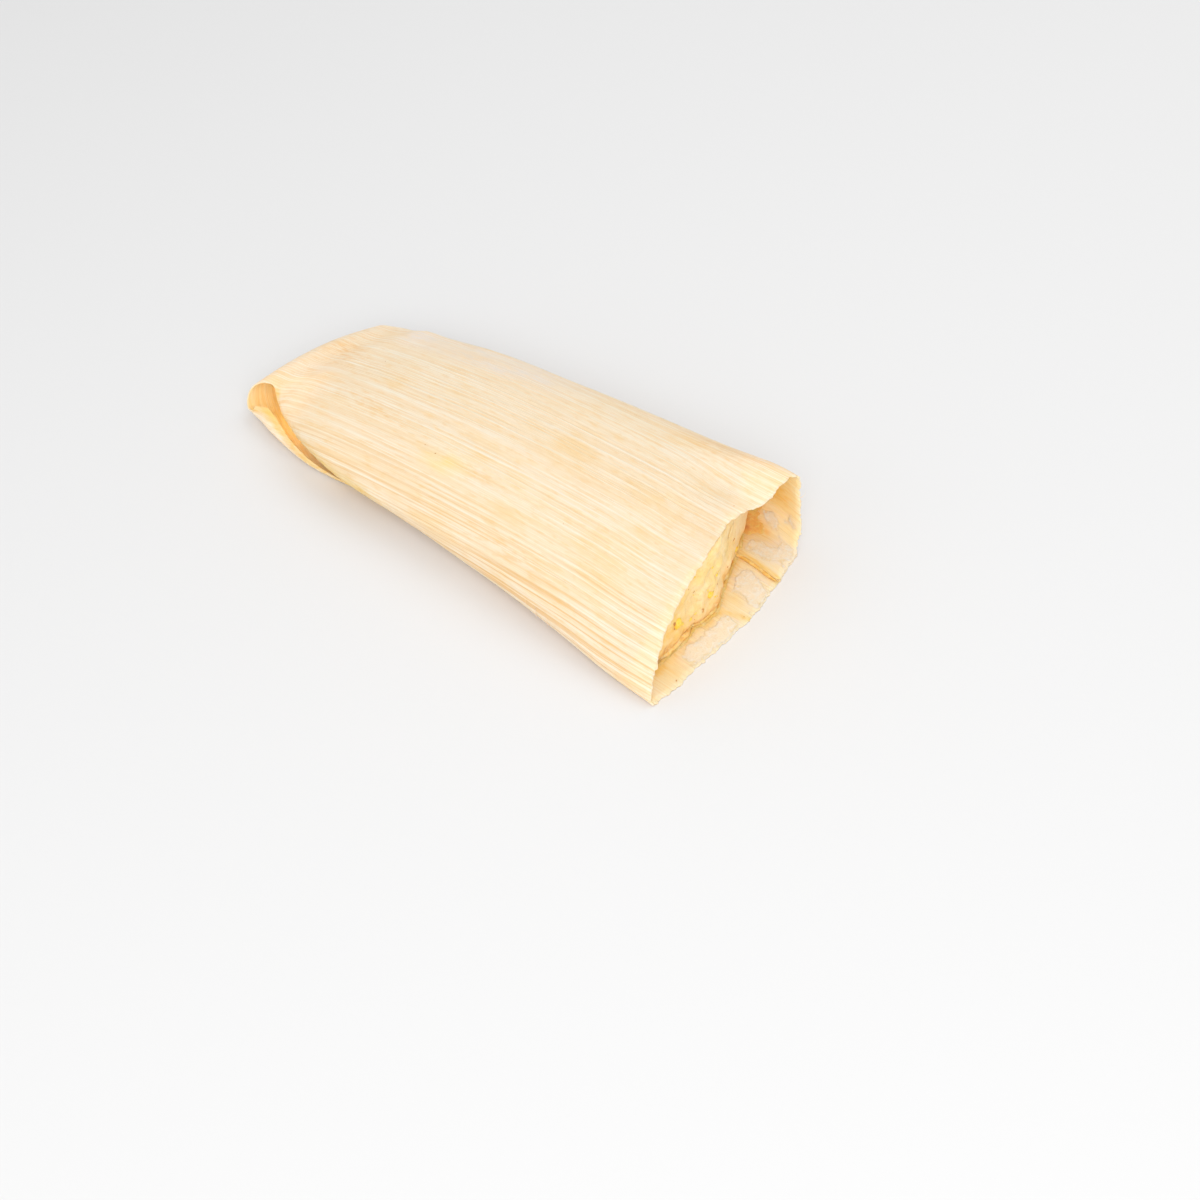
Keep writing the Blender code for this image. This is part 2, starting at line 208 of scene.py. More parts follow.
def run_along(points):
    """Length so far at each point of a line, or of every line of a grid."""
    steps = np.linalg.norm(np.diff(points, axis=-2), axis=-1)
    return np.concatenate([np.zeros_like(steps[..., :1]), np.cumsum(steps, axis=-1)], -1)


# Large odd numbers that mix a cell's place into one that looks random.
MIXERS = (374761393, 668265263, 974711)
LAST_MIXER = 1274126177
ALL_BITS = 0x7FFFFFFF


def value_noise(points, seed):
    """Smooth noise from -1 to 1 at (n, 2) or (n, 3) points, one cell per unit."""
    points = np.asarray(points, float)
    low = np.floor(points).astype(np.int64)
    part = points - low
    part = part * part * part * (part * (part * 6 - 15) + 10)
    total = np.zeros(points.shape[:-1])
    for corner in np.ndindex(*(2,) * points.shape[-1]):
        cell = low + np.array(corner)
        mixed = np.full(points.shape[:-1], seed * 7919 + 17, np.int64)
        for axis in range(points.shape[-1]):
            mixed = (mixed ^ (cell[..., axis] * MIXERS[axis])) * LAST_MIXER
            mixed = (mixed ^ (mixed >> 15)) & ALL_BITS
        random = mixed / (ALL_BITS >> 1) - 1.0
        weight = np.prod(np.where(np.array(corner) == 1, part, 1 - part), axis=-1)
        total += random * weight
    return total


def noises(points, *rows):
    """Noises of several sizes added up: each row has its strength, size and seed."""
    return sum(strength * value_noise(points / size, seed) for strength, size, seed in rows)


# ---- the husk's own shape

def quarter(power):
    """Cosine-like and sine-like sides of one quarter of a superellipse."""
    angle = np.linspace(0, np.pi / 2, QUARTER_POINTS)
    return np.cos(angle) ** (2 / power), np.sin(angle) ** (2 / power)


def section_quarters(x):
    """The four quarters of the wrap's section at x, each a list of (y, z)."""
    near_y, far_y, crown_y, crown_z, low_z = read_at(x, STATIONS, NEAR_Y, FAR_Y, CROWN_Y, CROWN_Z, LOW_Z)
    near_z, far_z, near_power, far_power, low_power = read_at(
        x, STATIONS, NEAR_Z, FAR_Z, NEAR_TOP_POWER, FAR_TOP_POWER, LOW_POWER)
    quarters = []
    for side_y, side_z, end_z, power, turned in (
        (far_y, far_z, low_z, low_power, -1), (far_y, far_z, crown_z, far_power, 1),
        (near_y, near_z, crown_z, near_power, -1), (near_y, near_z, low_z, low_power, 1),
    ):
        wide, high = quarter(power)
        points = together(crown_y + (side_y - crown_y) * wide, side_z + (end_z - side_z) * high)
        quarters.append(points[::turned])
    for points in quarters:
        upper = np.clip((points[:, 1] - far_z) / (crown_z - far_z), 0, 1)
        flute = FLUTE_DEPTH * bell(points[:, 0], FLUTE_Y, FLUTE_WIDTH)
        lift = LIFT * ease(points[:, 0], *LIFT_Y)
        points[:, 1] += (lift - flute) * ease(x, *FLUTE_RUN) * upper
        points[:, 1] = np.maximum(points[:, 1], LIE)
    return quarters


def along(points, fraction):
    """Points at fractions of a line's length."""
    length = run_along(points)
    at = np.asarray(fraction) * length[-1]
    return together(*(np.interp(at, length, part) for part in points.T))


def section(x, turns, inset):
    """(y, z) round the wrap at x, set in from its middle surface by inset."""
    turns = np.asarray(turns, float)
    quarters = section_quarters(x)

    def place(turn):
        wrapped = (turn % 1.0) * 4
        index = np.minimum(wrapped.astype(int), 3)
        spots = [along(points, np.clip(wrapped - i, 0, 1)) for i, points in enumerate(quarters)]
        return np.choose(index[..., None], spots)

    tangent = unit(place(turns + TANGENT_REACH) - place(turns - TANGENT_REACH))
    inward = together(-tangent[..., 1], tangent[..., 0])
    return place(turns) + inward * np.asarray(inset)[..., None]


def skew(x, y):
    """How far a point is carried along X because the fold line runs aslant."""
    return np.tan(FOLD_SKEW) * y * ease(x, *SKEW_RUN)


def cut_back(x, turn):
    """How far a point is drawn back along X because the mouth's edge slants."""
    return smooth_through(CUT_TURNS, CUT_BACK, turn) * ease(x, *CUT_RUN)


def torn_edge(turn):
    """The uneven tear along the mouth, in millimetres, round the wrap."""
    round_mouth = (np.asarray(turn) * TEAR_GIRTH)[:, None] * np.ones(2)
    return noises(round_mouth, (0.45, 9.0, 3), (0.38, 3.1, 4), (0.26, 1.1, 5), (0.10, 0.5, 6))


def wrap_row(x, turns):
    """Points of the husk across one row of the wrap."""
    lap = LAP_SPACING * (1 - ease(turns, *LAP_TURNS)) * ease(x, *LAP_RUN)
    flat = section(x, turns, lap)
    around = turns % 1.0
    torn = torn_edge(around) * ease(x, *TEAR_RUN)
    along_x = x - cut_back(x, around) + torn + skew(x, flat[:, 0])
    return together(along_x, flat[:, 0], flat[:, 1])


def leaf_row(step, across):
    """Points of the leaf across one row, across = 0 at its far edge, 1 at its near edge."""
    near, far, radius, roll, drop = read_at(
        step, LEAF_STEPS, LEAF_NEAR, LEAF_FAR, ROLL_RADIUS, ROLL_DEGREES, ARCH_DROP)
    roll = np.radians(roll)
    roll_start = near + radius * np.sin(min(roll, np.pi / 2))
    flat_width = far - roll_start
    run = across * (flat_width + radius * roll)
    angle = np.clip((run - flat_width) / radius, 0, None)
    side = far - np.minimum(run, flat_width) - radius * np.sin(angle)
    middle = (far + near) / 2
    arch = drop * ((side - middle) / (far - middle)) ** 2
    inward = -np.clip(arch, 0, drop) - radius * (1 - np.cos(angle))
    around = np.clip(step / FOLD_RADIUS, 0, np.pi)
    reach = FOLD_RADIUS + inward
    outward = min(step, 0) + np.sin(around) * reach - max(step - np.pi * FOLD_RADIUS, 0)
    ahead = np.array([-np.cos(FOLD_SKEW), np.sin(FOLD_SKEW)])
    beside = np.array([np.sin(FOLD_SKEW), np.cos(FOLD_SKEW)])
    plan = np.array([FOLD_X, 0.0]) + outward[:, None] * ahead + side[:, None] * beside
    height = LIE + FOLD_RADIUS + np.cos(around) * reach
    return np.concatenate([plan, height[:, None]], -1)


def narrowed(turns, x):
    """Turns after the wrap has narrowed towards the leaf at x."""
    first = INNER_EDGE + (LEAF_TURNS[0] - INNER_EDGE) * ease(x, *FAR_NARROWING)
    last = OUTER_EDGE + (LEAF_TURNS[1] - OUTER_EDGE) * ease(x, *NEAR_NARROWING)
    keys = (INNER_EDGE, *KEPT_TURNS, OUTER_EDGE)
    return np.interp(turns, keys, (first, *KEPT_TURNS, last))


def husk_row(step, turns):
    """Points across the husk, step millimetres past the fold's start line."""
    across = (narrowed(turns, FOLD_X) - LEAF_TURNS[0]) / (LEAF_TURNS[1] - LEAF_TURNS[0])
    if step >= 0:
        return leaf_row(step, across)
    x = FOLD_X - step
    wrap = wrap_row(x, narrowed(turns, x))
    share = ease(step, -BLEND, 0.0)
    if share == 0:
        return wrap
    return wrap + (leaf_row(step, across) - wrap) * share


def row_steps():
    """Places of the rows: closer at the mouth and at the fold's sharp turn."""
    turn = np.pi * FOLD_RADIUS
    even = np.linspace(0, 1, WRAP_ROWS, endpoint=False)
    crowded = even - ROW_CROWDING * np.sin(2 * np.pi * even) / (2 * np.pi)
    wrap = LENGTH * (crowded - 1)
    bend = np.linspace(0, turn, TURN_ROWS, endpoint=False)
    tail = np.linspace(turn, LEAF_LENGTH, TAIL_ROWS + 1)
    return np.concatenate([wrap, bend, tail])


# ---- nodes and materials

def linear(hex_colour):
    """An sRGB hex colour as linear RGBA."""
    channels = [int(hex_colour[i:i + 2], 16) / 255 for i in (1, 3, 5)]
    curve = [c / 12.92 if c <= 0.04045 else ((c + 0.055) / 1.055) ** 2.4 for c in channels]
    return (*curve, 1.0)


def node(tree, kind, settings, inputs, output=0):
    """Adds a node with its settings; inputs are values or other nodes' sockets. Gives a socket."""
    made = tree.nodes.new("ShaderNode" + kind)
    for name, value in settings.items():
        setattr(made, name, value)
    for key, value in inputs.items():
        if isinstance(value, bpy.types.NodeSocket):
            tree.links.new(value, made.inputs[key])
        else:
            made.inputs[key].default_value = value
    return made.outputs[output]


def start_material(name):
    """A new material, its nodes and its shader."""
    material = bpy.data.materials.new(name)
    material.use_nodes = True
    return material, material.node_tree, material.node_tree.nodes["Principled BSDF"]


def patterns_on(tree, place, sizes):
    """One noise for each named row of sizes: its millimetres along u, v and w, detail, seed."""
    made = {}
    for name, (u, v, w, detail, seed) in sizes.items():
        scale = (1 / u, 1 / v, 1 / w)
        moved = node(tree, "Mapping", {}, {"Vector": place, "Location": (seed,) * 3, "Scale": scale})
        noise = {"Vector": moved, "Scale": 1.0, "Detail": detail, "Roughness": 0.55}
        made[name] = node(tree, "TexNoise", {}, noise)
    return made


def through_body(tree, sizes):
    """The same patterns running through a piece's body."""
    place = node(tree, "TexCoord", {}, {}, "Object")
    in_millimetres = node(tree, "VectorMath", {"operation": "SCALE"}, {0: place, "Scale": 1 / MM})
    return patterns_on(tree, in_millimetres, sizes)


def painted(tree, base, layers, patterns):
    """Colours laid over a base. A layer has a pattern and the range of it that shows, its
    strength, the attribute that says where it lies, and its colour."""
    colour = linear(base)
    for pattern, low, high, strength, where, tint in layers:
        share = strength
        if pattern:
            span = {"Value": patterns[pattern], "From Min": low, "From Max": high, "To Max": strength}
            share = node(tree, "MapRange", {}, span)
        if where:
            lies = node(tree, "Attribute", {"attribute_name": where}, {}, "Fac")
            share = node(tree, "Math", {"operation": "MULTIPLY"}, {0: lies, 1: share})
        colour = node(tree, "Mix", {"data_type": "RGBA"}, {0: share, 6: colour, 7: linear(tint)}, 2)
    return colour


def relief_of(tree, shader, parts, patterns, depth):
    """Bump from patterns, each with its share of the depth, a length in metres."""
    if not parts:
        return
    height = 0.0
    for pattern, share in parts:
        terms = {0: patterns[pattern], 1: share, 2: height}
        height = node(tree, "Math", {"operation": "MULTIPLY_ADD"}, terms)
    bump = node(tree, "Bump", {}, {"Height": height, "Strength": 1.0, "Distance": depth})
    tree.links.new(bump, shader.inputs["Normal"])


def scattering(weight, reach, scale):
    """Light scattered within: its share, how far red, green and blue reach, and in metres."""
    return {"Subsurface Weight": weight, "Subsurface Radius": reach, "Subsurface Scale": scale}


def set_shader(tree, shader, values):
    """Values or other nodes' sockets for the shader's own sockets."""
    for name, value in values.items():
        if isinstance(value, bpy.types.NodeSocket):
            tree.links.new(value, shader.inputs[name])
        else:
            shader.inputs[name].default_value = value


PATTERN_SPAN = {"From Min": 0.3, "From Max": 0.7}      # nearly all of a noise lies in here

# The husk's patterns run in its own sheet: across the veins and along them. Its finest
# fibres are 0.1 mm apart and are drawn at 0.4 mm, so that they show.
HUSK_PATTERNS = {
    "ribs": (0.60, 120.0, 1.0, 2.0, 1.7),
    "fine": (0.32, 30.0, 1.0, 2.0, 5.1),
    "bands": (6.0, 130.0, 1.0, 2.0, 9.3),
    "clouds": (7.0, 18.0, 1.0, 3.0, 3.3),
    "mottle": (1.0, 4.4, 1.0, 3.0, 12.0),
    "streaks": (0.55, 70.0, 1.0, 1.5, 21.0),
}
HUSK_PLACES = ("streaked", "tanned", "yellowed", "frosted", "inside", "pasty", "soaked_and_painted_light", "stained")
HUSK_OUTSIDE = "#FDDEBC"
HUSK_LAYERS = (
    ("bands", 0.46, 0.62, 0.30, None, "#FFE7C8"),
    ("clouds", 0.49, 0.68, 0.70, None, "#FACF98"),
    ("mottle", 0.51, 0.68, 0.62, None, "#F8CB93"),
    ("ribs", 0.47, 0.36, 0.40, None, "#F7CF9D"),
    ("ribs", 0.53, 0.66, 0.60, None, "#FFEFDB"),
    ("fine", 0.54, 0.66, 0.60, None, "#FFF0DC"),
    ("fine", 0.46, 0.34, 0.40, None, "#F4CA96"),
    ("streaks", 0.49, 0.62, 0.75, "streaked", "#E9B676"),
    ("mottle", 0.40, 0.60, 0.90, "tanned", "#F4BF80"),
    ("clouds", 0.30, 0.60, 0.90, "yellowed", "#FFE08E"),
    ("mottle", 0.25, 0.60, 1.0, "frosted", "#F1E2D6"),
    (None, 0.0, 1.0, 1.0, "inside", "#FDE3B6"),
    ("ribs", 0.50, 0.68, 0.60, "inside", "#FFEBCF"),
    ("streaks", 0.50, 0.64, 0.45, "inside", "#F5C682"),
    ("mottle", 0.35, 0.65, 0.80, "pasty", "#FBE4D2"),
    # Partly fat soaked in, partly painted light: painted shade under the top of the mouth, and a painted
    # golden glow of light through the husk at the fold and in the slit.
    ("mottle", 0.40, 0.62, 0.75, "soaked_and_painted_light", "#EFBA5E"),
    ("clouds", 0.20, 0.60, 0.80, "soaked_and_painted_light", "#F5C976"),
    ("mottle", 0.30, 0.60, 0.95, "stained", "#FABC6A"),
)


def maize_husk():
    """Dried maize husk, soaked and steamed: a thin fibrous leaf with parallel veins. Satin and
    cream outside with pale ribs and tan streaks; golden inside, where fat has soaked in, with painted
    shade under the top of the mouth and a painted golden glow of light through the husk at the fold and
    in the slit."""
    material, tree, shader = start_material("dried_maize_husk")
    sheet = node(tree, "UVMap", {"uv_map": "Veins"}, {})
    in_millimetres = node(tree, "VectorMath", {"operation": "SCALE"}, {0: sheet, "Scale": VEIN_UNIT})
    patterns = patterns_on(tree, in_millimetres, HUSK_PATTERNS)
    relief_of(tree, shader, (("ribs", 0.6), ("fine", 0.4)), patterns, 0.00028)
    rough = {"Value": patterns["mottle"], **PATTERN_SPAN, "To Min": 0.48, "To Max": 0.64}
    set_shader(tree, shader, {
        "Base Color": painted(tree, HUSK_OUTSIDE, HUSK_LAYERS, patterns),
        "Roughness": node(tree, "MapRange", {}, rough),
        "IOR": 1.42,
        "Specular IOR Level": 0.35,
        **scattering(0.5, (1.0, 0.98, 0.92), 0.0011),
    })
    return material


DOUGH_PATTERNS = {
    "meal": (0.9, 0.9, 0.9, 3.0, 2.0),
    "crumb": (2.6, 2.6, 2.6, 3.0, 7.0),
    "broad": (8.0, 8.0, 8.0, 2.0, 4.0),
}
DOUGH_BODY = "#F6D69B"
DOUGH_LAYERS = (
    ("crumb", 0.45, 0.62, 0.70, None, "#F9E2B4"),
    ("broad", 0.48, 0.64, 0.75, None, "#F8D286"),
    ("meal", 0.55, 0.72, 0.45, None, "#EFC070"),
    ("crumb", 0.40, 0.60, 0.80, "yellow_end", "#F4C768"),
    ("broad", 0.20, 0.50, 0.85, "pale_end", "#F3DFB4"),
    ("meal", 0.20, 0.60, 0.90, "moist", "#DB9A48"),
)


def steamed_dough():
    """Steamed maize dough (masa): ground maize and lard, pressed by hand and set by steam.
    Grainy and a little moist, pale yellow, darker where juice has soaked its foot."""
    material, tree, shader = start_material("steamed_maize_dough")
    patterns = through_body(tree, DOUGH_PATTERNS)
    relief_of(tree, shader, (("crumb", 0.6), ("meal", 0.4)), patterns, 0.0005)
    rough = {"Value": patterns["crumb"], **PATTERN_SPAN, "To Min": 0.50, "To Max": 0.66}
    set_shader(tree, shader, {
        "Base Color": painted(tree, DOUGH_BODY, DOUGH_LAYERS, patterns),
        "Roughness": node(tree, "MapRange", {}, rough),
        "IOR": 1.40,
        "Specular IOR Level": 0.3,
        **scattering(0.4, (1.0, 0.86, 0.62), 0.0012),
    })
    return material


SMALL_PATTERNS = {"blotch": (1.3, 1.3, 1.3, 3.0, 3.0), "grit": (0.4, 0.4, 0.4, 2.0, 6.0)}


def thin_food(name, base, layers, relief, depth, looks):
    """A thin layer of food: the small patterns colour it and raise it; looks is its shader."""
    material, tree, shader = start_material(name)
    patterns = through_body(tree, SMALL_PATTERNS)
    relief_of(tree, shader, relief, patterns, depth)
    set_shader(tree, shader, {"Base Color": painted(tree, base, layers, patterns), **looks})
    return material


def stuck_film():
    """Masa left on the husk as it was peeled back: a thin pale paste, dried matt, with pores.
    At its thin edges the husk's gold shows through."""
    layers = (
        (None, 0.0, 1.0, 1.0, "thick", "#FFE7C9"),
        ("blotch", 0.46, 0.62, 0.8, "thick", "#FFEFDC"),
        ("grit", 0.56, 0.74, 0.6, None, "#F8D2A2"),
    )
    relief = (("blotch", 0.5), ("grit", 0.5))
    return thin_food("dried_masa_film", "#FBDAA4", layers, relief, 0.0003, {
        "Roughness": 0.6,
        "IOR": 1.40,
        **scattering(0.5, (1.0, 0.85, 0.65), 0.001),
    })


def dried_juice():
    """Fat and broth that ran out as it steamed and set: golden-brown, glossy, half clear."""
    layers = (
        ("blotch", 0.44, 0.62, 0.9, None, "#FAD391"),
        ("grit", 0.56, 0.72, 0.5, None, "#E5A250"),
    )
    relief = (("blotch", 0.7), ("grit", 0.3))
    return thin_food("set_golden_juice", "#F0BB68", layers, relief, 0.0002, {
        "Roughness": 0.34,
        "IOR": 1.45,
        **scattering(0.6, (1.0, 0.66, 0.32), 0.0014),
    })


def red_chile_sauce():
    """Red chile sauce that seeped out as it steamed: ground dried chile in fat. Orange-red,
    wet and glossy, darker where it lies thick."""
    layers = (
        ("blotch", 0.45, 0.60, 0.8, None, "#FBD080"),
        ("grit", 0.56, 0.70, 0.5, None, "#E7A05C"),
        (None, 0.0, 1.0, 1.0, "thick", "#D98A56"),
    )
    relief = (("blotch", 0.6), ("grit", 0.4))
    return thin_food("red_chile_sauce", "#F8B96A", layers, relief, 0.0002, {
        "Roughness": 0.30,
        "IOR": 1.45,
        **scattering(0.4, (1.0, 0.5, 0.2), 0.0012),
    })


def plain_bits(name, base, tint, roughness):
    """Small firm bits, one colour broken up by a second; too small for relief to show."""
    layers = (("grit", 0.4, 0.6, 0.8, None, tint),)
    return thin_food(name, base, layers, (), 0.0, {"Roughness": roughness, "IOR": 1.45})


# ---- making pieces

def in_scene(name, data):
    """A new object that holds a mesh, a lamp or a camera."""
    made = bpy.data.objects.new(name, data)
    bpy.context.scene.collection.objects.link(made)
    return made


def mesh_object(name, slot, material, verts, faces, maps=None, values=None, replaced=None):
    """A piece from millimetre points. maps are UV layers by face corner, values are by point."""
    mesh = bpy.data.meshes.new(name)
    mesh.from_pydata([tuple(v) for v in np.asarray(verts) * MM], [], faces)
    for label, per_corner in (maps or {}).items():
        layer = mesh.uv_layers.new(name=label)
        layer.data.foreach_set("uv", np.asarray(per_corner, np.float32).ravel())
    for label, per_point in (values or {}).items():
        data = mesh.attributes.new(label, "FLOAT", "POINT")
        data.data.foreach_set("value", np.asarray(per_point, np.float32).ravel())
    mesh.materials.append(material)
    mesh.shade_smooth()
    piece = in_scene(name, mesh)
    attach(piece, "root")
    if replaced:
        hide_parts(replaced)


def grid_normals(points, wraps=False):
    """Unit normals of a grid of points, facing out of the wrap."""
    down = np.gradient(points, axis=0)
    if wraps:
        across = (np.roll(points, -1, axis=1) - np.roll(points, 1, axis=1)) / 2
    else:
        across = np.gradient(points, axis=1)
    return unit(np.cross(down, across))


def quads(*corners):
    """Faces from the point numbers of their first, second, third and fourth corners."""
    return np.stack(corners, -1).reshape(-1, len(corners))


def spots(x, around, table):
    """Soft round spots on the sheet: each has its place (x, turns), half length and half width
    in millimetres, and strength."""
    total = np.zeros(np.broadcast(x, around).shape)
    for at_x, at_turn, half_length, half_width, strength in table:
        off = ((x - at_x) / half_length) ** 2 + ((around - at_turn) * WRAP_GIRTH / half_width) ** 2
        total = total + strength * np.exp(-off)
    return total


# ---- the husk

VEIN_UNIT = 100.0              # millimetres for one unit of the Veins map
# Bands along the veins: how far across from the crown, and their width.
STREAK_BAND = (-39.0, 15.0)
FAR_STREAK_BAND = (30.0, 8.0)
FROST_BAND = (23.0, 7.0)
LEAST_STREAK = 0.10            # tan streaks are nowhere quite missing
FAR_STREAK = 0.6
# Runs of steps past the fold's start, over which a part of the paint comes in or goes out.
STREAK_STEPS = ((4.0, -4.0),)
FAR_STREAK_STEPS = ((-70.0, -120.0),)
FROST_STEPS = ((-6.0, -14.0), (-80.0, -50.0))
SOAKED_AND_SHADE_STEPS = ((-90.0, -105.0),)
FOLD_PAINTED_GLOW_STEPS = ((-45.0, -12.0), (60.0, 25.0))
ROLLED_STEPS = ((14.0, 22.0), (75.0, 60.0))
SLIT_STEPS = ((4.0, -6.0), (-56.0, -42.0))
FOLD_PAINTED_GLOW = 0.9                # the inside at the fold is painted golden this much, a painted glow of light through the husk, but hardly where it bends: this step, and that band's width
BEND_GLOW_GAP = (8.0, 9.0)          # but hardly where it bends: this step, and the dry band's width
BEND_GLOW_GAP_SHARE = 0.82
MOUTH_X = (40.0, 46.0)         # films show only in the mouth
# Spots: x, turns, half length, half width, strength.
TAN_SPOTS = ((51.0, 0.335, 8.0, 4.0, 0.25), (40.0, 0.333, 7.0, 3.0, 0.35),
             (-66.0, 0.48, 6.0, 9.0, 0.7), (2.0, 0.62, 9.0, 2.0, 0.5),
             (-36.0, 0.60, 12.0, 3.0, 0.5), (25.0, 0.70, 10.0, 3.0, 0.5))
YELLOW_SPOTS = ((-7.5, 0.632, 6.0, 4.0, 0.6),)
MASA_SPOTS = ((62.2, 1.180, 3.4, 2.6, 1.1), (64.5, 1.122, 6.0, 3.0, 1.3),
              (70.5, 1.148, 3.5, 3.0, 1.0), (69.0, 1.205, 3.0, 2.0, 0.8),
              (66.0, 1.052, 4.6, 4.2, 1.3), (70.0, 1.045, 3.0, 4.0, 0.9),
              (69.6, 0.935, 3.2, 6.0, 1.2), (69.0, 0.880, 3.2, 6.0, 1.1),
              (70.5, 0.965, 2.5, 3.0, 0.8))
SAUCE_SPOTS = ((52.5, 1.157, 3.6, 2.4, 1.2), (56.2, 1.164, 2.8, 2.8, 1.15),
               (57.4, 1.140, 2.2, 1.9, 1.0), (61.0, 1.157, 2.4, 1.8, 0.8),
               (59.0, 1.190, 2.4, 1.6, 0.6))
THICK_SPOTS = ((53.6, 1.155, 1.6, 1.0, 1.0), (56.5, 1.145, 1.2, 0.8, 0.7))
SOAKED_SPOTS = ((61.0, 1.150, 3.0, 2.5, 0.9), (66.5, 1.015, 2.0, 2.0, 0.6))
GOLDEN_EDGE = (2.6, 0.6)       # how near its rolled edge the leaf turns golden
SLIT_START = (0.735, 0.762)    # turns of the wrap seen in the slit beside the fold, painted golden there as a painted glow of light through the husk
SLIT_END = (0.87, 0.83)
LAP_LINE = 1.09                # turns, where the sheet's inner edge lies on its floor
# Bands of the inside: turns, half width, where they start along X and are full, strength. Most are
# soaked with fat and juice; the second and third are painted shade under the top of the mouth.
SOAKED_AND_SHADE_BANDS = ((LAP_LINE + 0.002, 0.9, (54.0, 60.0), 1.0), (1.245, 4.71, (73.0, 66.0), 1.0),
                (1.33, 9.42, (74.0, 60.0), 0.7), (0.84, 4.71, (73.0, 68.0), 0.5))
FOOT_SOAK = (0.6, 1.3)         # how far past the foot it is soaked most, and the band's width
VEIN_X = (64.8, 71.8)          # a floor vein runs aslant between these places along X
VEIN_TURNS = (0.977, 0.996)
# The line of the dough's foot on the husk, by turns.
FOOT_TURNS = (0.835, 0.858, 0.892, 0.922, 0.936, 0.971, 1.017, 1.070, 1.102, 1.137, 1.153, 1.163,
              1.19)
FOOT_X = (64.8, 65.0, 64.8, 63.8, 64.8, 65.0, 61.5, 59.2, 57.8, 55.8, 53.8, 50.0, 46.0)


def vein_places(steps, turns, points):
    """How far each point is to the far side of the crown, across the straight veins. Past the
    fold the veins cross the leaf aslant, because the fold line does."""
    round_wrap, over_leaf = run_along(points[:, :, 1:]), run_along(points)
    crown = int(np.argmin(np.abs(turns - 0.5)))
    wrap = points[:, crown:crown + 1, 1] + round_wrap[:, crown:crown + 1] - round_wrap
    edge = smooth_through(LEAF_STEPS, LEAF_FAR, steps)[:, None]
    leaf = np.cos(FOLD_SKEW) * (edge - over_leaf) + np.sin(FOLD_SKEW) * steps[:, None]
    first = int(np.argmax(steps >= 0))
    return np.where(steps[:, None] < 0, wrap, leaf + wrap[first] - leaf[first])


def rib_relief(across, lengthwise):
    """Height of the veins and soft ripples, in millimetres, over the sheet's own coordinates."""
    sheet = together(across, lengthwise)
    phase = (across + 0.5 * value_noise(sheet / (9.0, 80.0), 31)) / RIB_PITCH
    strength = 0.65 + 0.35 * value_noise(together(np.floor(phase), lengthwise / 70.0), 32)
    ribs = RIB_HEIGHT * strength * np.cos(2 * np.pi * phase)
    ribs = ribs * (1 + NEAR_RIB_GAIN * ease(-across, *NEAR_RIBS))
    return ribs + noises(sheet, (RIPPLE_HEIGHT, (RIPPLE_WIDTH, 60.0), 33),
                         (FINE_HEIGHT, (FINE_WIDTH, 40.0), 34))


# The sheet's grid: a row for each step along it, a column for each turn round it.
steps = row_steps()
turns = np.linspace(INNER_EDGE, OUTER_EDGE, COLUMNS + 1)
husk_raw = np.array([husk_row(step, turns) for step in steps])
vein_mm = vein_places(steps, turns, husk_raw)
length_mm = np.broadcast_to((steps + LENGTH)[:, None], vein_mm.shape)
row_x = (FOLD_X - steps)[:, None]
kept_turns = np.array([narrowed(turns, max(x, FOLD_X)) for x in row_x[:, 0]])

# SHIFT sets the sheet on the part's own husk; both lie on the table as they are.
cad_low, cad_high = (np.array(corner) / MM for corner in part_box("husk"))
raw_low = husk_raw.reshape(-1, 3).min(0)
raw_high = husk_raw.reshape(-1, 3).max(0)
SHIFT = (cad_low + cad_high) / 2 - (raw_low + raw_high) / 2
SHIFT[2] = 0.0

husk_normals = grid_normals(husk_raw)
calm = (1 - ease(husk_raw[..., 2], *LYING_Z)) * (1 - CALM_SHARE * ease(steps, *CALM_STEPS)[:, None])
husk_middle = husk_raw + SHIFT + husk_normals * (rib_relief(vein_mm, length_mm) * calm)[..., None]
husk_outer = husk_middle + husk_normals * SHEET / 2
husk_inner = husk_middle - husk_normals * SHEET / 2


def on_floor(around):
    """Turns as seen from inside the mouth: the far wall runs on from the floor past 1."""
    return np.where(around < 0.5, around + 1.0, around)


def soaked_and_shaded_inside(x, around):
    """Where fat and juice have soaked the inside: under the dough and along its foot, one vein
    of the floor, and the bands and spots listed above. Two of the bands are painted shade under the top
    of the mouth."""
    seen = on_floor(around)
    past_foot = x - np.interp(seen, FOOT_TURNS, FOOT_X)
    soaked_and_painted_light = bell(past_foot, *FOOT_SOAK) + ease(past_foot, 0.0, -2.0)
    share = (x - VEIN_X[0]) / (VEIN_X[1] - VEIN_X[0])
    vein = between(*VEIN_TURNS, share)
    for turn, half_width, run, strength in (*SOAKED_AND_SHADE_BANDS, (vein, 0.8, (62.0, 65.0), 1.0)):
        soaked_and_painted_light = soaked_and_painted_light + strength * bell((seen - turn) * WRAP_GIRTH, 0, half_width) * ease(x, *run)
    return np.clip(soaked_and_painted_light + spots(x, seen, SOAKED_SPOTS), 0, 1)


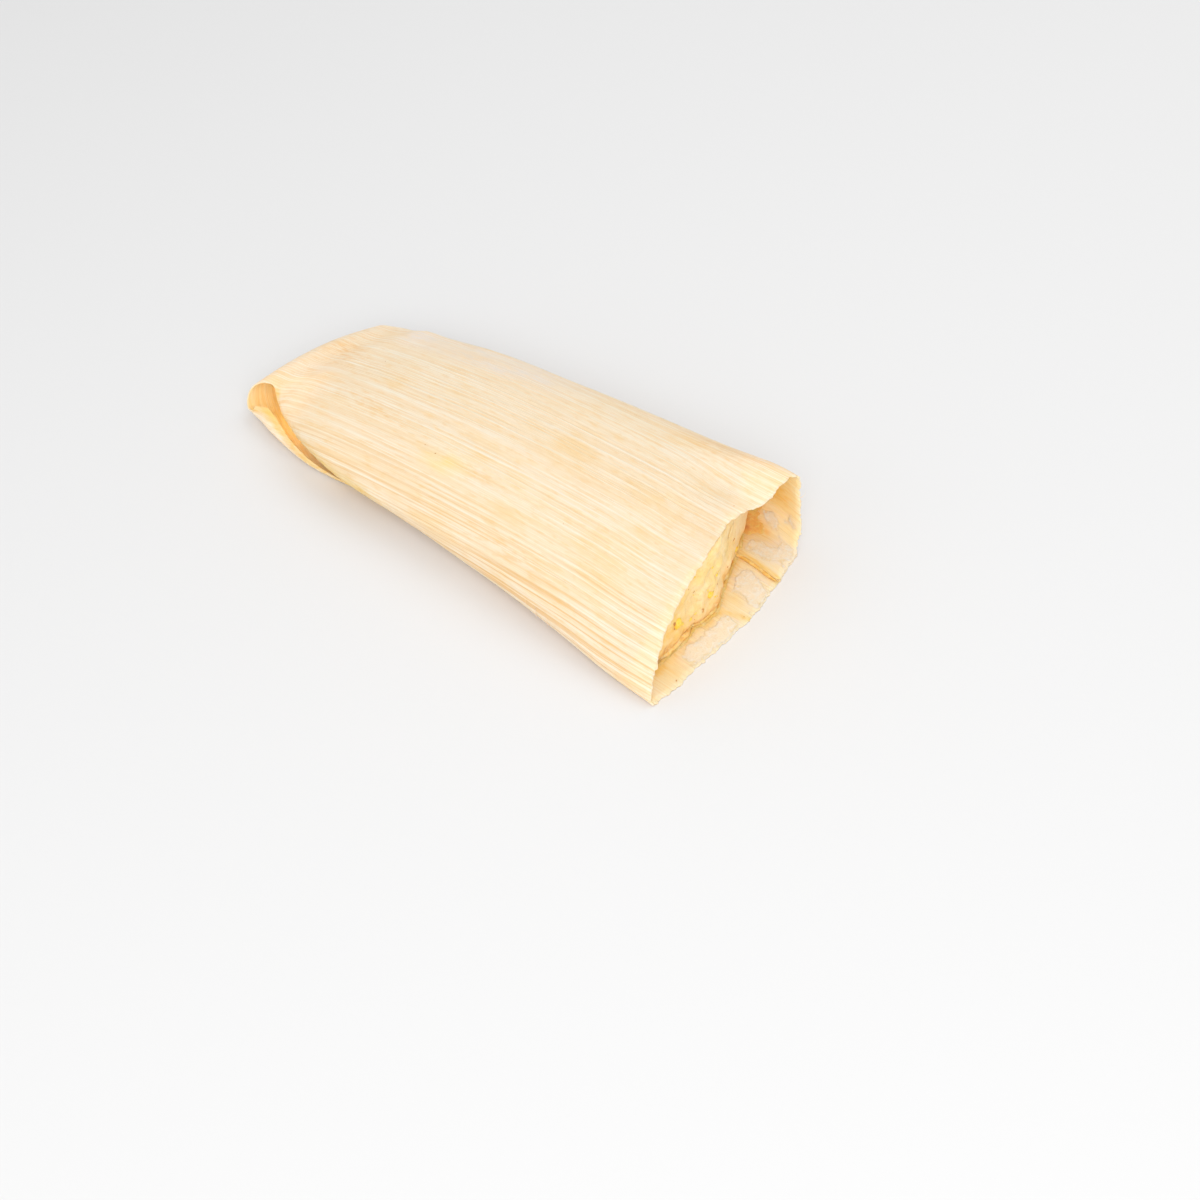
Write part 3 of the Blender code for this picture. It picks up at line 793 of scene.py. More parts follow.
def husk_values():
    """What the husk's paint needs to know, by point: first the outer side, then the inner."""
    def by_row(runs):
        """A share for each row of the sheet, from runs of its steps."""
        return np.prod([ease(steps, *run) for run in runs], axis=0)[:, None]

    far_streak = FAR_STREAK * by_row(FAR_STREAK_STEPS) * bell(vein_mm, *FAR_STREAK_BAND)
    streaked = bell(vein_mm, *STREAK_BAND) * by_row(STREAK_STEPS) + far_streak
    uneven = value_noise(together(vein_mm, length_mm) / (3.0, 12.0), 51)
    frosted = bell(vein_mm, *FROST_BAND) * by_row(FROST_STEPS)
    frosted = np.clip(frosted * (0.8 + 0.7 * uneven), 0, 0.9)
    tanned = np.clip(spots(row_x, kept_turns, TAN_SPOTS), 0, 1)
    yellowed = np.clip(spots(row_x, kept_turns, YELLOW_SPOTS), 0, 1)
    # Painted glow: the inside near the fold is painted golden for light let through the husk into the
    # shaded hollow.
    at_fold = FOLD_PAINTED_GLOW - BEND_GLOW_GAP_SHARE * bell(steps, *BEND_GLOW_GAP)[:, None]
    soaked_and_painted_light = soaked_and_shaded_inside(row_x, kept_turns) * by_row(SOAKED_AND_SHADE_STEPS)
    soaked_and_painted_light = np.clip(soaked_and_painted_light + by_row(FOLD_PAINTED_GLOW_STEPS) * at_fold, 0, 1)
    to_edge = np.linalg.norm(husk_raw - husk_raw[:, -1:], axis=-1)
    rolled = ease(to_edge, *GOLDEN_EDGE) * by_row(ROLLED_STEPS)
    # Painted glow: the outer side seen in the slit is painted golden for light let through the husk.
    in_slit = ease(kept_turns, *SLIT_START) * ease(kept_turns, *SLIT_END) * by_row(SLIT_STEPS)
    seen = on_floor(kept_turns)
    mouth = ease(row_x, *MOUTH_X)
    pasty = np.clip(1.8 * spots(row_x, seen, MASA_SPOTS) - 0.1 + 0.3 * uneven, 0, 1) * mouth
    stained = np.clip(1.1 * spots(row_x, seen, SAUCE_SPOTS), 0, 1) * mouth
    none = np.zeros_like(vein_mm)
    by_side = {
        "pasty": (none, pasty),
        "stained": (none, stained),
        "streaked": (np.clip(streaked, LEAST_STREAK, 1.0), none),
        "tanned": (tanned, none),
        "yellowed": (yellowed, none),
        "frosted": (frosted, none),
        "inside": (none, none + 1.0),
        # Outer side: golden at the rolled edge, and a painted glow in the slit; inner side: fat soaked
        # in, painted shade under the top of the mouth, and a painted glow at the fold.
        "soaked_and_painted_light": (np.maximum(rolled, in_slit), soaked_and_painted_light),
    }
    return {name: np.concatenate([side.ravel() for side in sides]) for name, sides in by_side.items()}


# Heights of the baked map: where the outer and inner sides start, and their share; the rim.
OUTER_MAP = (0.0, 0.55)
INNER_MAP = (0.56, 0.42)
RIM_MAP = (0.988, 0.998)


def make_husk(material):
    """The sheet: two sides and the rim between them."""
    rows, columns = husk_middle.shape[:2]
    verts = np.concatenate([husk_outer.reshape(-1, 3), husk_inner.reshape(-1, 3)])
    verts[:, 2] = np.maximum(verts[:, 2], LOWEST)
    count = rows * columns
    index = np.arange(count).reshape(rows, columns)
    a, b, c, d = index[:-1, :-1], index[:-1, 1:], index[1:, 1:], index[1:, :-1]
    border = np.concatenate([index[0, :], index[1:, -1], index[-1, -2::-1], index[-2:0:-1, 0]])
    following = np.roll(border, -1)
    rim = quads(border, following, following + count, border + count)
    faces = np.concatenate([quads(a, d, c, b), quads(a, b, c, d) + count, rim])
    corners = faces.ravel()
    veins = np.tile(together(vein_mm, length_mm).reshape(-1, 2), (2, 1))[corners] / VEIN_UNIT

    u = np.linspace(0, 1, columns)
    v = length_mm[:, :1] / length_mm[-1, 0]
    sides = [together(u, start + share * v).reshape(-1, 2) for start, share in (OUTER_MAP, INNER_MAP)]
    baked = np.concatenate(sides)[corners]
    at = np.arange(len(border))[:, None] / len(border)
    rim_map = together(at + np.array([0, 1, 1, 0]) / len(border), np.repeat(RIM_MAP, 2))
    baked[-rim.size:] = rim_map.reshape(-1, 2)
    mesh_object("husk_sheet", "corn_husk", material, verts, faces.tolist(),
                {"Veins": veins, "OFBake": baked}, husk_values(), "husk")


# ---- the dough

YELLOW_END = (-19.0, 6.0)      # across: where the face turns yellower
PALE_END = (19.0, 5.0)         # across: the pale facet at its far tip,
PALE_HEIGHT = (4.0, 8.0)       # above its foot
SMOOTH_END = (7.0, 14.0)       # across: the facet is smoother than the rest
SMOOTH_SHARE = 0.8
FACE_LUMPS = (0.0, 0.20)       # from the rim inwards, as a share of the ring: full lumps
CALM_CENTRE = (0.45, 0.12)     # rings this small share one normal, so that they stay even
FOOT_HEIGHT = (3.6, 1.2)       # juice soaks the face between these heights
FACE_START = (46.0, 52.0)      # along X: behind this the loaf is the body's colour


def dough_ring(level):
    """Place along the dough (0 rear, 1 front) and width of a ring, level 0 to 1."""
    length = DOUGH_FRONT_X - DOUGH_REAR_X
    rear = REAR_CAP_LENGTH / length
    front = FRONT_CAP_LENGTH / length
    if level < REAR_CAP_SHARE:
        angle = (1 - level / REAR_CAP_SHARE) * np.pi / 2
        power = 2 / REAR_CAP_POWER
        return rear * (1 - np.sin(angle) ** power), np.cos(angle) ** power
    if level > 1 - FRONT_CAP_SHARE:
        share = (level - 1 + FRONT_CAP_SHARE) / FRONT_CAP_SHARE
        angle = min(share / FRONT_RIM_SHARE, 1) * FRONT_RIM_ANGLE
        width = np.cos(angle) ** (2 / FRONT_CAP_POWER) * min((1 - share) / (1 - FRONT_RIM_SHARE), 1)
        return 1 - front * (1 - (1 - width**FRONT_CAP_POWER) ** (1 / FRONT_CAP_POWER)), width
    share = (level - REAR_CAP_SHARE) / (1 - REAR_CAP_SHARE - FRONT_CAP_SHARE)
    return rear + (1 - front - rear) * share, 1.0


def dough_sections():
    """Sections inside the wrap at even stations: rings of (y, z), and their middles."""
    stations = np.linspace(*DOUGH_STATIONS)
    around = np.append(np.arange(DOUGH_SEGMENTS) / DOUGH_SEGMENTS, np.arange(0, 1, 0.25))
    lap = LAP_SPACING * (1 - ease(around, *LAP_TURNS)) * ease(around, *LAP_STEP)
    rings = np.array([section(x, around, DOUGH_INSET + lap * ease(x, *LAP_RUN)) for x in stations])
    return stations, rings[:, :-4], rings[:, -4:].mean(axis=1)


def dough_outline(table, x, width):
    """(y, z) of the dough's skin at x, one x for each segment; width 0 is the section's middle."""
    stations, rings, middles = table
    columns = np.arange(DOUGH_SEGMENTS)
    spot = (x + cut_back(x, columns / DOUGH_SEGMENTS) - stations[0]) / (stations[1] - stations[0])
    low = np.clip(spot.astype(int), 0, len(stations) - 2)
    part = (spot - low)[:, None]
    ring = between(rings[low, columns], rings[low + 1, columns], part)
    middle = between(middles[low], middles[low + 1], part)
    return middle + (ring - middle) * width


def dough_grid():
    """Rings drawn out along the wrap, blunt at the mouth, then made lumpy."""
    levels = np.linspace(0, 1, DOUGH_RINGS + 1)[1:-1]
    table = dough_sections()
    rows, widths = [], []
    for level in levels:
        place, width = dough_ring(level)
        widths.append(width if level > 0.5 else 1.0)
        x = np.full(DOUGH_SEGMENTS, DOUGH_REAR_X + (DOUGH_FRONT_X - DOUGH_REAR_X) * place)
        y = dough_outline(table, x, width)[:, 0]
        drawn_back = DOUGH_FRONT_X - smooth_through(DOUGH_FACE_Y, DOUGH_FACE_X, y)
        x = x - drawn_back * ease(x, *DOUGH_FACE_RUN)
        flat = dough_outline(table, x, width)
        rows.append(together(x + skew(x, flat[:, 0]), flat[:, 0], flat[:, 1]))
    grid = np.array(rows)
    normals = -grid_normals(grid, wraps=True)
    widths = np.array(widths)[:, None]
    to_centre = ease(widths, *CALM_CENTRE)[..., None]
    shared = normals[widths[:, 0] < CALM_CENTRE[0]].mean(axis=(0, 1))
    normals = unit(between(normals, shared, to_centre))
    face = ease(1 - widths, *FACE_LUMPS) * (1 - SMOOTH_SHARE * ease(grid[..., 1], *SMOOTH_END))
    lumps = noises(grid, (0.75 * face, 5.0, 61), (0.08 + 0.30 * face, 2.1, 62),
                   (0.03 + 0.10 * face, 0.95, 63))
    return levels, grid + SHIFT + normals * lumps[..., None], normals


def make_dough(material):
    """The loaf: rings joined along it, closed at each end by a fan."""
    count = len(dough_levels)
    rear, front = dough_points[0].mean(0), dough_points[-1].mean(0)
    verts = np.concatenate([dough_points.reshape(-1, 3), [rear, front]])
    index = np.arange(count * DOUGH_SEGMENTS).reshape(count, DOUGH_SEGMENTS)
    after = np.roll(index, -1, axis=1)
    sides = quads(index[:-1], after[:-1], after[1:], index[1:])
    first, last = count * DOUGH_SEGMENTS, count * DOUGH_SEGMENTS + 1
    rear_cap = together(after[0], index[0], first)
    front_cap = together(index[-1], after[-1], last)
    faces = sides.tolist() + rear_cap.tolist() + front_cap.tolist()

    u = np.arange(DOUGH_SEGMENTS)[:, None] / DOUGH_SEGMENTS
    width = 1 / DOUGH_SEGMENTS
    v = dough_levels[:, None, None]
    baked = np.concatenate([fan.reshape(-1, 2) for fan in (
        together(u + np.array([0, width, width, 0]), np.concatenate([v[:-1]] * 2 + [v[1:]] * 2, -1)),
        together(u + np.array([width, 0, width / 2]), [v[0, 0, 0], v[0, 0, 0], 0.0]),
        together(u + np.array([0, width, width / 2]), [v[-1, 0, 0], v[-1, 0, 0], 1.0]),
    )])

    spot = verts - SHIFT
    face = ease(spot[:, 0], *FACE_START)
    uneven_z = spot[:, 2] + 0.8 * value_noise(spot / 2.0, 65)
    values = {
        "yellow_end": face * bell(spot[:, 1], *YELLOW_END),
        "pale_end": face * bell(spot[:, 1], *PALE_END) * ease(spot[:, 2], *PALE_HEIGHT),
        "moist": face * ease(uneven_z, *FOOT_HEIGHT),
    }
    mesh_object("dough_loaf", "masa", material, verts, faces, {"OFBake": baked}, values, "masa")


# ---- films, bits and fibres

FILM_RUN = (46.0, 72.9)
FILM_STEP = 0.35               # between the film's rows, along the sheet
FILM_BURIED = 0.06             # how far its feather edge sinks into the sheet
FILM_FLOOR = 0.16              # and its underside
FILM_EDGE = (0.038, 0.070)     # thinner than this, the husk's gold shows through
SPOT_EDGE = 0.62               # strength of its spots at a film's edge
FAR_WALL = (0.094, 0.300)      # turns of the two stretches of husk seen in the mouth
NEAR_FLOOR = (0.770, 1.086)


# Each film's depth, and where it is wet, at x, turns and the place on the sheet in millimetres.

def masa_film_depth(x, around, place):
    field = spots(x, around, MASA_SPOTS) - SPOT_EDGE - 0.9 * soaked_and_shaded_inside(x, around)
    field = field + noises(place, (0.42, 2.4, 71), (0.26, 0.9, 72))
    return 0.05 + 0.10 * np.clip(field, -0.5, 1.0) + noises(place, (0.02, 0.7, 73)), field > 0


def sauce_depth(x, around, place):
    field = spots(x, around, SAUCE_SPOTS) - SPOT_EDGE
    field = field + noises(place, (0.22, 1.8, 74), (0.14, 0.8, 75))
    return 0.04 + 0.20 * np.clip(field, -0.2, 1.0), field > 0


def juice_depth(x, around, place):
    past_foot = x - np.interp(around, FOOT_TURNS, FOOT_X)
    line = bell(past_foot, 0.4, 0.70) * ease(around, 0.80, 0.84)
    field = line - 0.50 + noises(place, (0.26, 2.2, 76), (0.14, 0.8, 77))
    return 0.04 + 0.34 * np.clip(field, -0.1, 1.0), field > 0


def rows_at(x):
    """Where each x lies between the husk's rows: the row before it, and the share past that."""
    rows = np.interp(-x, -row_x[:, 0], np.arange(len(steps)))
    low = np.minimum(rows.astype(int), len(steps) - 2)
    return low, rows - low


def film(name, slot, material, depth_of, thick=()):
    """A thin layer on the inside of the husk. It follows the sheet's own columns, its feather
    edge and its underside sink into the sheet."""
    verts, faces, thickness = [], [], []
    x_here = np.arange(*FILM_RUN, FILM_STEP)
    low, part = rows_at(x_here)
    part = part[:, None, None]
    start = 0
    for first, last in (FAR_WALL, NEAR_FLOOR):
        columns = np.flatnonzero((turns >= first) & (turns <= last))
        surface, outward = (
            between(grid[low][:, columns], grid[low + 1][:, columns], part)
            for grid in (husk_inner, husk_normals)
        )
        around = on_floor(turns[columns])[None, :] * np.ones((len(x_here), 1))
        x = x_here[:, None] * np.ones((1, len(columns)))
        depth, wet = depth_of(x, around, together(x, around * WRAP_GIRTH))
        cell = wet[:-1, :-1] | wet[:-1, 1:] | wet[1:, 1:] | wet[1:, :-1]
        padded = np.pad(cell, 1)
        used = padded[1:, 1:] | padded[1:, :-1] | padded[:-1, :-1] | padded[:-1, 1:]
        top = surface - outward * np.where(wet, depth, -FILM_BURIED)[..., None]
        under = surface + outward * FILM_FLOOR
        upper = np.cumsum(used.ravel()).reshape(used.shape) - 1 + start
        lower = upper + used.sum()
        start += 2 * used.sum()
        verts += [top[used], under[used]]
        heavy = np.clip(spots(x, around, thick), 0, 1) if thick else ease(depth, *FILM_EDGE)
        thickness += [heavy[used]] * 2
        i, j = np.nonzero(cell)
        a, b, c, d = (i, j), (i, j + 1), (i + 1, j + 1), (i + 1, j)
        faces += [quads(upper[a], upper[d], upper[c], upper[b]),
                  quads(lower[a], lower[b], lower[c], lower[d])]
        for down, over, ends in ((-1, 0, (a, b)), (0, 1, (b, c)), (1, 0, (c, d)), (0, -1, (d, a))):
            bare = ~padded[i + 1 + down, j + 1 + over]
            p, q = ((end_i[bare], end_j[bare]) for end_i, end_j in ends)
            faces.append(quads(upper[p], upper[q], lower[q], lower[p]))
    mesh_object(name, slot, material, np.concatenate(verts), np.concatenate(faces).tolist(),
                values={"thick": np.concatenate(thickness)})


BEAD_RUN = (53.0, 72.6)
BEAD_RADIUS = 0.54
BEAD_TIP = 0.35                # share of its radius at its ends
BEAD_RAISED = 0.42             # from the sheet's middle, and past its edge
BEAD_ASIDE = 0.15
BEAD_ENDS = (12, 8)            # points over which it grows to its full radius, at each end
BEAD_SIDES = 8
BEAD_TURN = 0.7 * np.arange(BEAD_SIDES)      # its sides' places in the noise over its skin
FOOT_RADIUS = 0.80
FOOT_POINTS = 150
FOOT_BEHIND = 0.8              # its middle is this far behind the foot,
FOOT_RAISED = 0.05             # and above the husk
FOOT_SUNK = 0.20               # flat on the husk's side: it never passes through the sheet
FOOT_EVENED = 9                # points that are averaged to even out its line
FOOT_SWELL = 0.4               # thicker at the near end, over this run along it
FOOT_SWELL_RUN = (16.0, 6.0)
FOOT_TAPER = 2.5               # over this run it thins at its ends, to this share
FOOT_TIP = 0.2


def tube(line, radii, ahead, beside):
    """A closed tube round a line: its cross-section lies in the plane of `ahead` and `beside`."""
    sides = len(radii[0])
    angle = np.arange(sides) / sides * 2 * np.pi
    over, along_side = np.cos(angle)[None, :, None], np.sin(angle)[None, :, None]
    ring = over * ahead[:, None] + along_side * beside[:, None]
    points = (line[:, None] + ring * radii[..., None]).reshape(-1, 3)
    index = np.arange(len(points)).reshape(-1, sides)
    after = np.roll(index, -1, axis=1)
    skin = quads(index[:-1], after[:-1], after[1:], index[1:])
    return points, skin.tolist() + [index[0, ::-1].tolist(), index[-1].tolist()]


def juice_bead(material):
    """Juice that gathered and set along the husk's inner edge, on the floor of the mouth."""
    low, part = rows_at(np.arange(*BEAD_RUN, FILM_STEP))
    part = part[:, None]
    edge, outward, inner = (
        between(grid[low, 0], grid[low + 1, 0], part)
        for grid in (husk_middle, husk_normals, husk_middle[:, 3:])
    )
    beside = unit(edge - inner)
    line = edge + outward * BEAD_RAISED + beside * BEAD_ASIDE
    number = np.arange(len(line))
    ends = ease(number, 0, BEAD_ENDS[0]) * ease(number[::-1], 0, BEAD_ENDS[1])
    skin = together(number[:, None] * FILM_STEP, BEAD_TURN)
    uneven = noises(skin, (0.3, (2.5, 1.0), 78), (0.2, (0.9, 1.0), 79))
    thin = BEAD_TIP + (1 - BEAD_TIP) * ends[:, None]
    radii = BEAD_RADIUS * thin * (1 + uneven)
    verts, faces = tube(line, radii, outward, -beside)
    mesh_object("juice_at_lap", "masa", material, verts, faces)


def foot_bead(material):
    """The same juice as a fillet where the dough's face meets the husk."""
    around = np.linspace(FOOT_TURNS[0], FOOT_TURNS[-2], FOOT_POINTS)
    x = np.interp(around, FOOT_TURNS, FOOT_X) - FOOT_BEHIND
    picked = [on_husk(place, turn, husk_inner) for place, turn in zip(x, around)]
    line, outward = (np.array([pick[i] for pick in picked]) for i in (0, 1))
    even = np.ones(FOOT_EVENED) / FOOT_EVENED
    padded = np.pad(line, ((FOOT_EVENED // 2,) * 2, (0, 0)), "edge")
    line = together(*(np.convolve(part, even, "valid") for part in padded.T)) - outward * FOOT_RAISED
    beside = unit(np.cross(np.gradient(line, axis=0), outward))
    run = run_along(line)
    skin = together(run[:, None], BEAD_TURN)
    uneven = noises(skin, (0.22, (4.0, 1.0), 85), (0.12, (1.2, 1.0), 86))
    ends = np.minimum(run, run[-1] - run)[:, None]
    near_end = 1 + FOOT_SWELL * ease(run, *FOOT_SWELL_RUN)[:, None]
    thin = FOOT_TIP + (1 - FOOT_TIP) * ease(ends, 0, FOOT_TAPER)
    radii = FOOT_RADIUS * near_end * (1 + uneven) * thin
    verts, faces = tube(line, radii, outward, beside)
    line, outward = (np.repeat(part, BEAD_SIDES, axis=0) for part in (line, outward))
    depth = ((verts - line) * outward).sum(axis=1, keepdims=True)
    verts = verts - outward * np.maximum(depth - FOOT_SUNK, 0)
    mesh_object("juice_fillet", "masa", material, verts, faces)


GRAIN_UNEVEN = 0.28
GRAIN_HEIGHT = 0.6             # a bit's height for its width
FACE_FROM_X = 40.0


def grain(centre, normal, size, stretch, random):
    """An uneven bit half sunk in a surface: points and faces."""
    builder = bmesh.new()
    bmesh.ops.create_icosphere(builder, subdivisions=2, radius=1.0)
    points = np.array([v.co[:] for v in builder.verts])
    faces = [[v.index for v in face.verts] for face in builder.faces]
    builder.free()
    points *= 1 + GRAIN_UNEVEN * value_noise(points * 1.6 + random.uniform(0, 90), 81)[:, None]
    points *= np.array([stretch, 1.0, GRAIN_HEIGHT]) * size / 2
    turn = Matrix.Rotation(random.uniform(0, math.pi), 3, "Z")
    facing = Vector(normal).to_track_quat("Z", "Y").to_matrix() @ turn
    return points @ np.array(facing).T + centre, faces


def joined(bits):
    """Points and faces of all the bits as one piece."""
    verts, faces = [], []
    count = 0
    for points, own in bits:
        verts.append(points)
        faces += [[i + count for i in face] for face in own]
        count += len(points)
    return np.concatenate(verts), faces


def on_face(y, z):
    """Point and normal of the dough's face at (y, z) of the wrap's own frame."""
    off = np.hypot(dough_points[..., 1] - SHIFT[1] - y, dough_points[..., 2] - z)
    off = np.where(dough_points[..., 0] > FACE_FROM_X, off, np.inf)
    at = np.unravel_index(np.argmin(off), off.shape)
    return dough_points[at], dough_normals[at]


def on_husk(x, turn, side):
    """Point and outward normal of the husk at a row x and a turn, seen from the mouth or not."""
    if turn > NEAR_FLOOR[1]:
        turn -= 1.0
    row = int(np.argmin(np.abs(row_x[:, 0] - x)))
    column = int(np.argmin(np.abs(kept_turns[row] - turn)))
    return side[row, column], husk_normals[row, column]


# Bits in the dough's face: y, z, size, stretch.
MAIZE_BITS = ((-5.3, 8.5, 2.1, 1.2), (-16.9, 8.0, 2.3, 1.4), (15.3, 3.2, 1.3, 1.8),
              (-15.4, 6.4, 1.0, 1.3), (-2.0, 12.0, 0.8, 1.2), (-11.5, 4.5, 0.9, 1.4))
CHILE_BITS = ((-7.7, 4.6, 0.8, 1.6), (-18.4, 8.6, 0.8, 1.5), (-10.5, 12.9, 0.5, 1.3),
              (-8.3, 5.8, 0.4, 1.2), (-17.8, 6.9, 0.5, 1.8))
# Chile on the husk, inside its lip and outside: x, turns, size.
LIP_BITS = ((72.0, 0.820, 0.38), (72.3, 1.090, 0.26), (72.0, 0.998, 0.22), (53.8, 1.153, 0.7),
            (52.0, 1.160, 0.5))
HUSK_BITS = ((-11.6, 0.625, 0.28), (-14.5, 0.620, 0.20), (69.7, 0.429, 0.26), (30.0, 0.62, 0.16),
             (-50.0, 0.47, 0.18))
# Small bits scattered over the face: how many, where, the share of maize, sizes, stretch.
MANY_BITS = 22
MANY_Y = (-24, 14)
MANY_Z = (3, 17)
MAIZE_SHARE = 0.6
MANY_SIZE = (0.25, 0.6)
MANY_STRETCH = (1, 1.8)


def maize_and_chile():
    """Broken maize and flakes of dried chile, in the dough and stuck on the husk."""
    random = np.random.default_rng(7)
    maize = [grain(*on_face(y, z), size, stretch, random) for y, z, size, stretch in MAIZE_BITS]
    chile = [grain(*on_face(y, z), size, stretch, random) for y, z, size, stretch in CHILE_BITS]
    for _ in range(MANY_BITS):
        y, z = random.uniform(*MANY_Y), random.uniform(*MANY_Z)
        bits = maize if random.random() < MAIZE_SHARE else chile
        size, stretch = random.uniform(*MANY_SIZE), random.uniform(*MANY_STRETCH)
        bits.append(grain(*on_face(y, z), size, stretch, random))
    for bits, side, up, stretch in ((LIP_BITS, husk_inner, -1, 1.6), (HUSK_BITS, husk_outer, 1, 1.8)):
        for x, turn, size in bits:
            spot, outward = on_husk(x, turn, side)
            chile.append(grain(spot, up * outward, size, stretch, random))
    # Broken cooked maize: bright yellow, its skin smooth with a soft gloss.
    flecks = plain_bits("cooked_maize", "#F6CC3C", "#FADB70", 0.45)
    # Crushed dried chile, soaked in fat: brown and less glossy.
    flakes = plain_bits("chile_flake", "#DB9F58", "#BC7E40", 0.5)
    mesh_object("maize_flecks", "masa", flecks, *joined(maize))
    mesh_object("chile_flakes", "masa", flakes, *joined(chile))


FIBRE_SIDES = 5
FIBRE_POINTS = 9
FIBRE_SWAY = (-0.25, 0.25)
FIBRE_TAPER = 0.75
STRAIGHT = 1e-6                # added to the curl, so that a straight fibre can be divided by it


def fibre(start, ahead, up, length, thickness, curl, random):
    """A torn fibre: a thin tapered strand that leaves along `ahead` and curls towards `up`."""
    ahead, up = unit(np.array([ahead, up]))
    beside = np.cross(ahead, up)
    share = np.linspace(0, 1, FIBRE_POINTS)[:, None]
    bend = curl * share
    sway = random.uniform(*FIBRE_SWAY)
    arc = ahead * np.sin(bend + STRAIGHT) + up * (1 - np.cos(bend))
    line = start + length * (arc / (curl + STRAIGHT) + beside * sway * share**2)
    radius = thickness / 2 * (1 - FIBRE_TAPER * share)
    radii = np.repeat(radius, FIBRE_SIDES, axis=1)
    along_line = np.ones((FIBRE_POINTS, 1))
    return tube(line, radii, up * along_line, beside * along_line)


# Fibres left at the mouth, then at a frayed spot: how many, how long, how thick, their curl.
MOUTH_FIBRES = 70
MOUTH_LENGTH = (0.9, 2.2)
MOUTH_THICKNESS = 0.16
MOUTH_CURL = (-0.6, 0.6)
FRAY_FIBRES = 12
FRAY_X = (31.5, 36.5)
FRAY_TURNS = (0.75, 0.768)
FRAY_LENGTH = (0.8, 1.8)
FRAY_THICKNESS = 0.13
FRAY_CURL = 0.8
# One at the far corner: x and turns; the way it leaves, its up, length, thickness and curl.
CORNER_PLACE = (72.8, 0.262)
CORNER_FIBRE = ((1.0, 0.5, 0.3), (0.0, 0.2, 1.0), 2.6, 0.2, 1.9)


def torn_fibres(material):
    """Strands left standing at the torn mouth, a frayed spot low on the near side, and one
    curled strand at the far corner."""
    random = np.random.default_rng(11)
    strands = []
    for _ in range(MOUTH_FIBRES):
        turn = random.uniform(INNER_EDGE, OUTER_EDGE)
        column = int(np.argmin(np.abs(turns - turn)))
        start = husk_middle[1, column]
        ahead = husk_middle[0, column] - husk_middle[2, column] + random.normal(0, 0.10, 3)
        length, curl = random.uniform(*MOUTH_LENGTH), random.uniform(*MOUTH_CURL)
        up = husk_normals[0, column]
        strands.append(fibre(start, ahead, up, length, MOUTH_THICKNESS, curl, random))
    for _ in range(FRAY_FIBRES):
        x, turn = random.uniform(*FRAY_X), random.uniform(*FRAY_TURNS)
        spot, outward = on_husk(x, turn, husk_outer)
        ahead = np.array([random.uniform(0.4, 1.0), 0.0, 0.0]) + outward * random.uniform(0.1, 0.5)
        length = random.uniform(*FRAY_LENGTH)
        strands.append(fibre(spot, ahead, outward, length, FRAY_THICKNESS, FRAY_CURL, random))
    corner, _ = on_husk(*CORNER_PLACE, husk_middle)
    strands.append(fibre(corner, *CORNER_FIBRE, random))
    verts, faces = joined(strands)
    verts[:, 2] = np.maximum(verts[:, 2], LOWEST)
    values = {name: np.zeros(len(verts)) for name in HUSK_PLACES}
    mesh_object("husk_fibres", "corn_husk", material, verts, faces, values=values)


husk_material = maize_husk()
make_husk(husk_material)
dough_levels, dough_points, dough_normals = dough_grid()
make_dough(steamed_dough())
film("masa_film", "masa", stuck_film(), masa_film_depth)
film("chile_sauce", "masa", red_chile_sauce(), sauce_depth, THICK_SPOTS)
juice = dried_juice()
film("juice_at_foot", "masa", juice, juice_depth)
juice_bead(juice)
foot_bead(juice)
maize_and_chile()
torn_fibres(husk_material)


# ---- floor, light and camera

FLOOR_REACH = 3.0              # metres each way


def make_floor():
    """A matt white board: painted, plain, with hardly any gloss."""
    mesh = bpy.data.meshes.new("floor")
    builder = bmesh.new()
    bmesh.ops.create_grid(builder, x_segments=1, y_segments=1, size=FLOOR_REACH)
    builder.to_mesh(mesh)
    builder.free()
    material, _, shader = start_material("matt_white_board")
    shader.inputs["Base Color"].default_value = linear("#E5E5E5")
    shader.inputs["Roughness"].default_value = 0.7
    mesh.materials.append(material)
    floor = in_scene("floor", mesh)


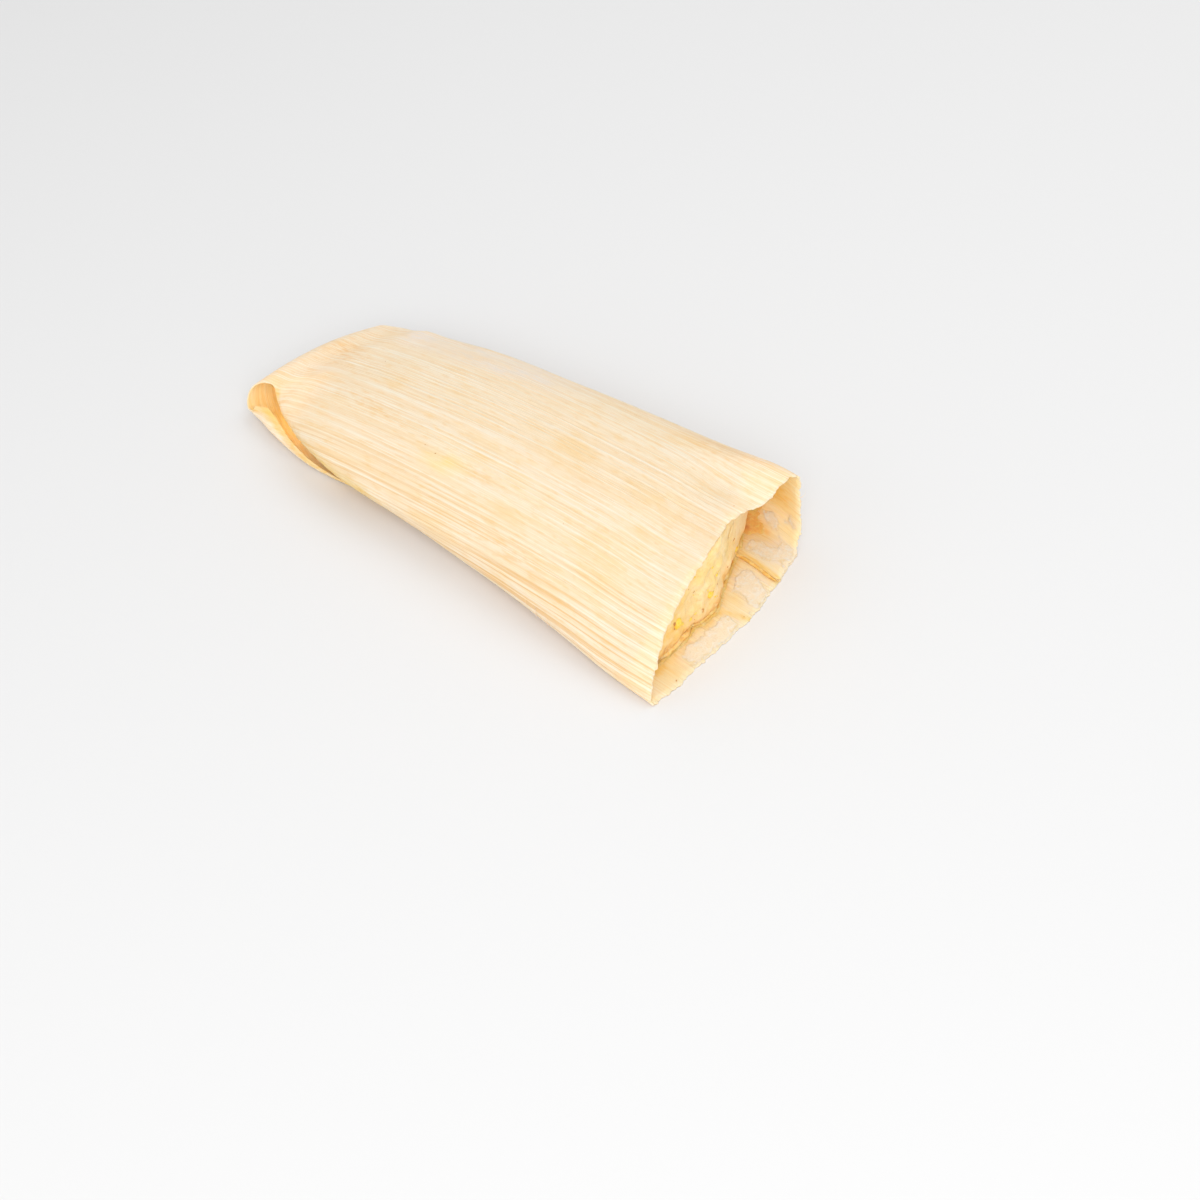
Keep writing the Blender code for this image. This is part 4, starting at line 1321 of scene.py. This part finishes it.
# Lamps: name, place, target and size in metres, watts, colour if not white. The last is the
# light that a real husk lets through at the fold, where only air lies under it.
MIDDLE = (0, 0, 0.01)
LAMPS = (
    ("key_softbox", (0.10, 0.45, 0.75), MIDDLE, 0.7, 1.5),
    ("front_fill", (0.50, -0.48, 0.60), MIDDLE, 0.6, 3.0),
    ("low_fill", (-0.30, -0.80, 0.28), MIDDLE, 0.8, 1.1),
    ("mouth_fill", (0.72, -0.50, 0.25), (0.06, 0, 0.01), 0.7, 0.8),
    ("fold_glow", (-0.0625, -0.006, 0.0066), (-0.053, -0.025, 0.004), 0.009, 0.0014,
     (1.0, 0.97, 0.76)),
)


def soft_lamp(name, place, target, size, watts, colour=(1.0, 1.0, 1.0)):
    """A round lamp that shines softly from its place towards its target."""
    lamp = bpy.data.lights.new(name, "AREA")
    lamp.color = colour
    lamp.shape = "DISK"
    lamp.size = size
    lamp.energy = watts
    hung = in_scene(name, lamp)
    hung.location = place
    hung.visible_camera = False
    hung.rotation_euler = (Vector(target) - Vector(place)).to_track_quat("-Z", "Y").to_euler()


CAMERA_PLACE = Vector((258.13, -258.15, 327.44)) * MM
CAMERA_TARGET = Vector((48.83, -21.08, 8.0)) * MM
CAMERA_ROLL = math.radians(-2.856)
CAMERA_LENS = 57.0             # with a sensor of this width
CAMERA_SENSOR = 36.0
CAMERA_NEAR = 0.01


def make_camera():
    data = bpy.data.cameras.new("camera")
    data.lens = CAMERA_LENS
    data.sensor_width = CAMERA_SENSOR
    data.clip_start = CAMERA_NEAR
    camera = in_scene("camera", data)
    facing = (CAMERA_TARGET - CAMERA_PLACE).to_track_quat("-Z", "Y").to_matrix().to_4x4()
    roll = Matrix.Rotation(CAMERA_ROLL, 4, "Z")
    camera.matrix_world = Matrix.Translation(CAMERA_PLACE) @ facing @ roll
    bpy.context.scene.camera = camera


def make_world():
    """Even white light from all round the room."""
    world = bpy.data.worlds.new("soft_room")
    world.use_nodes = True
    sky = world.node_tree.nodes["Background"]
    sky.inputs["Color"].default_value = linear("#FFFFFF")
    sky.inputs["Strength"].default_value = 0.72
    bpy.context.scene.world = world
    bpy.context.scene.view_settings.view_transform = "Standard"


make_floor()
for lamp in LAMPS:
    soft_lamp(*lamp)
make_camera()
make_world()
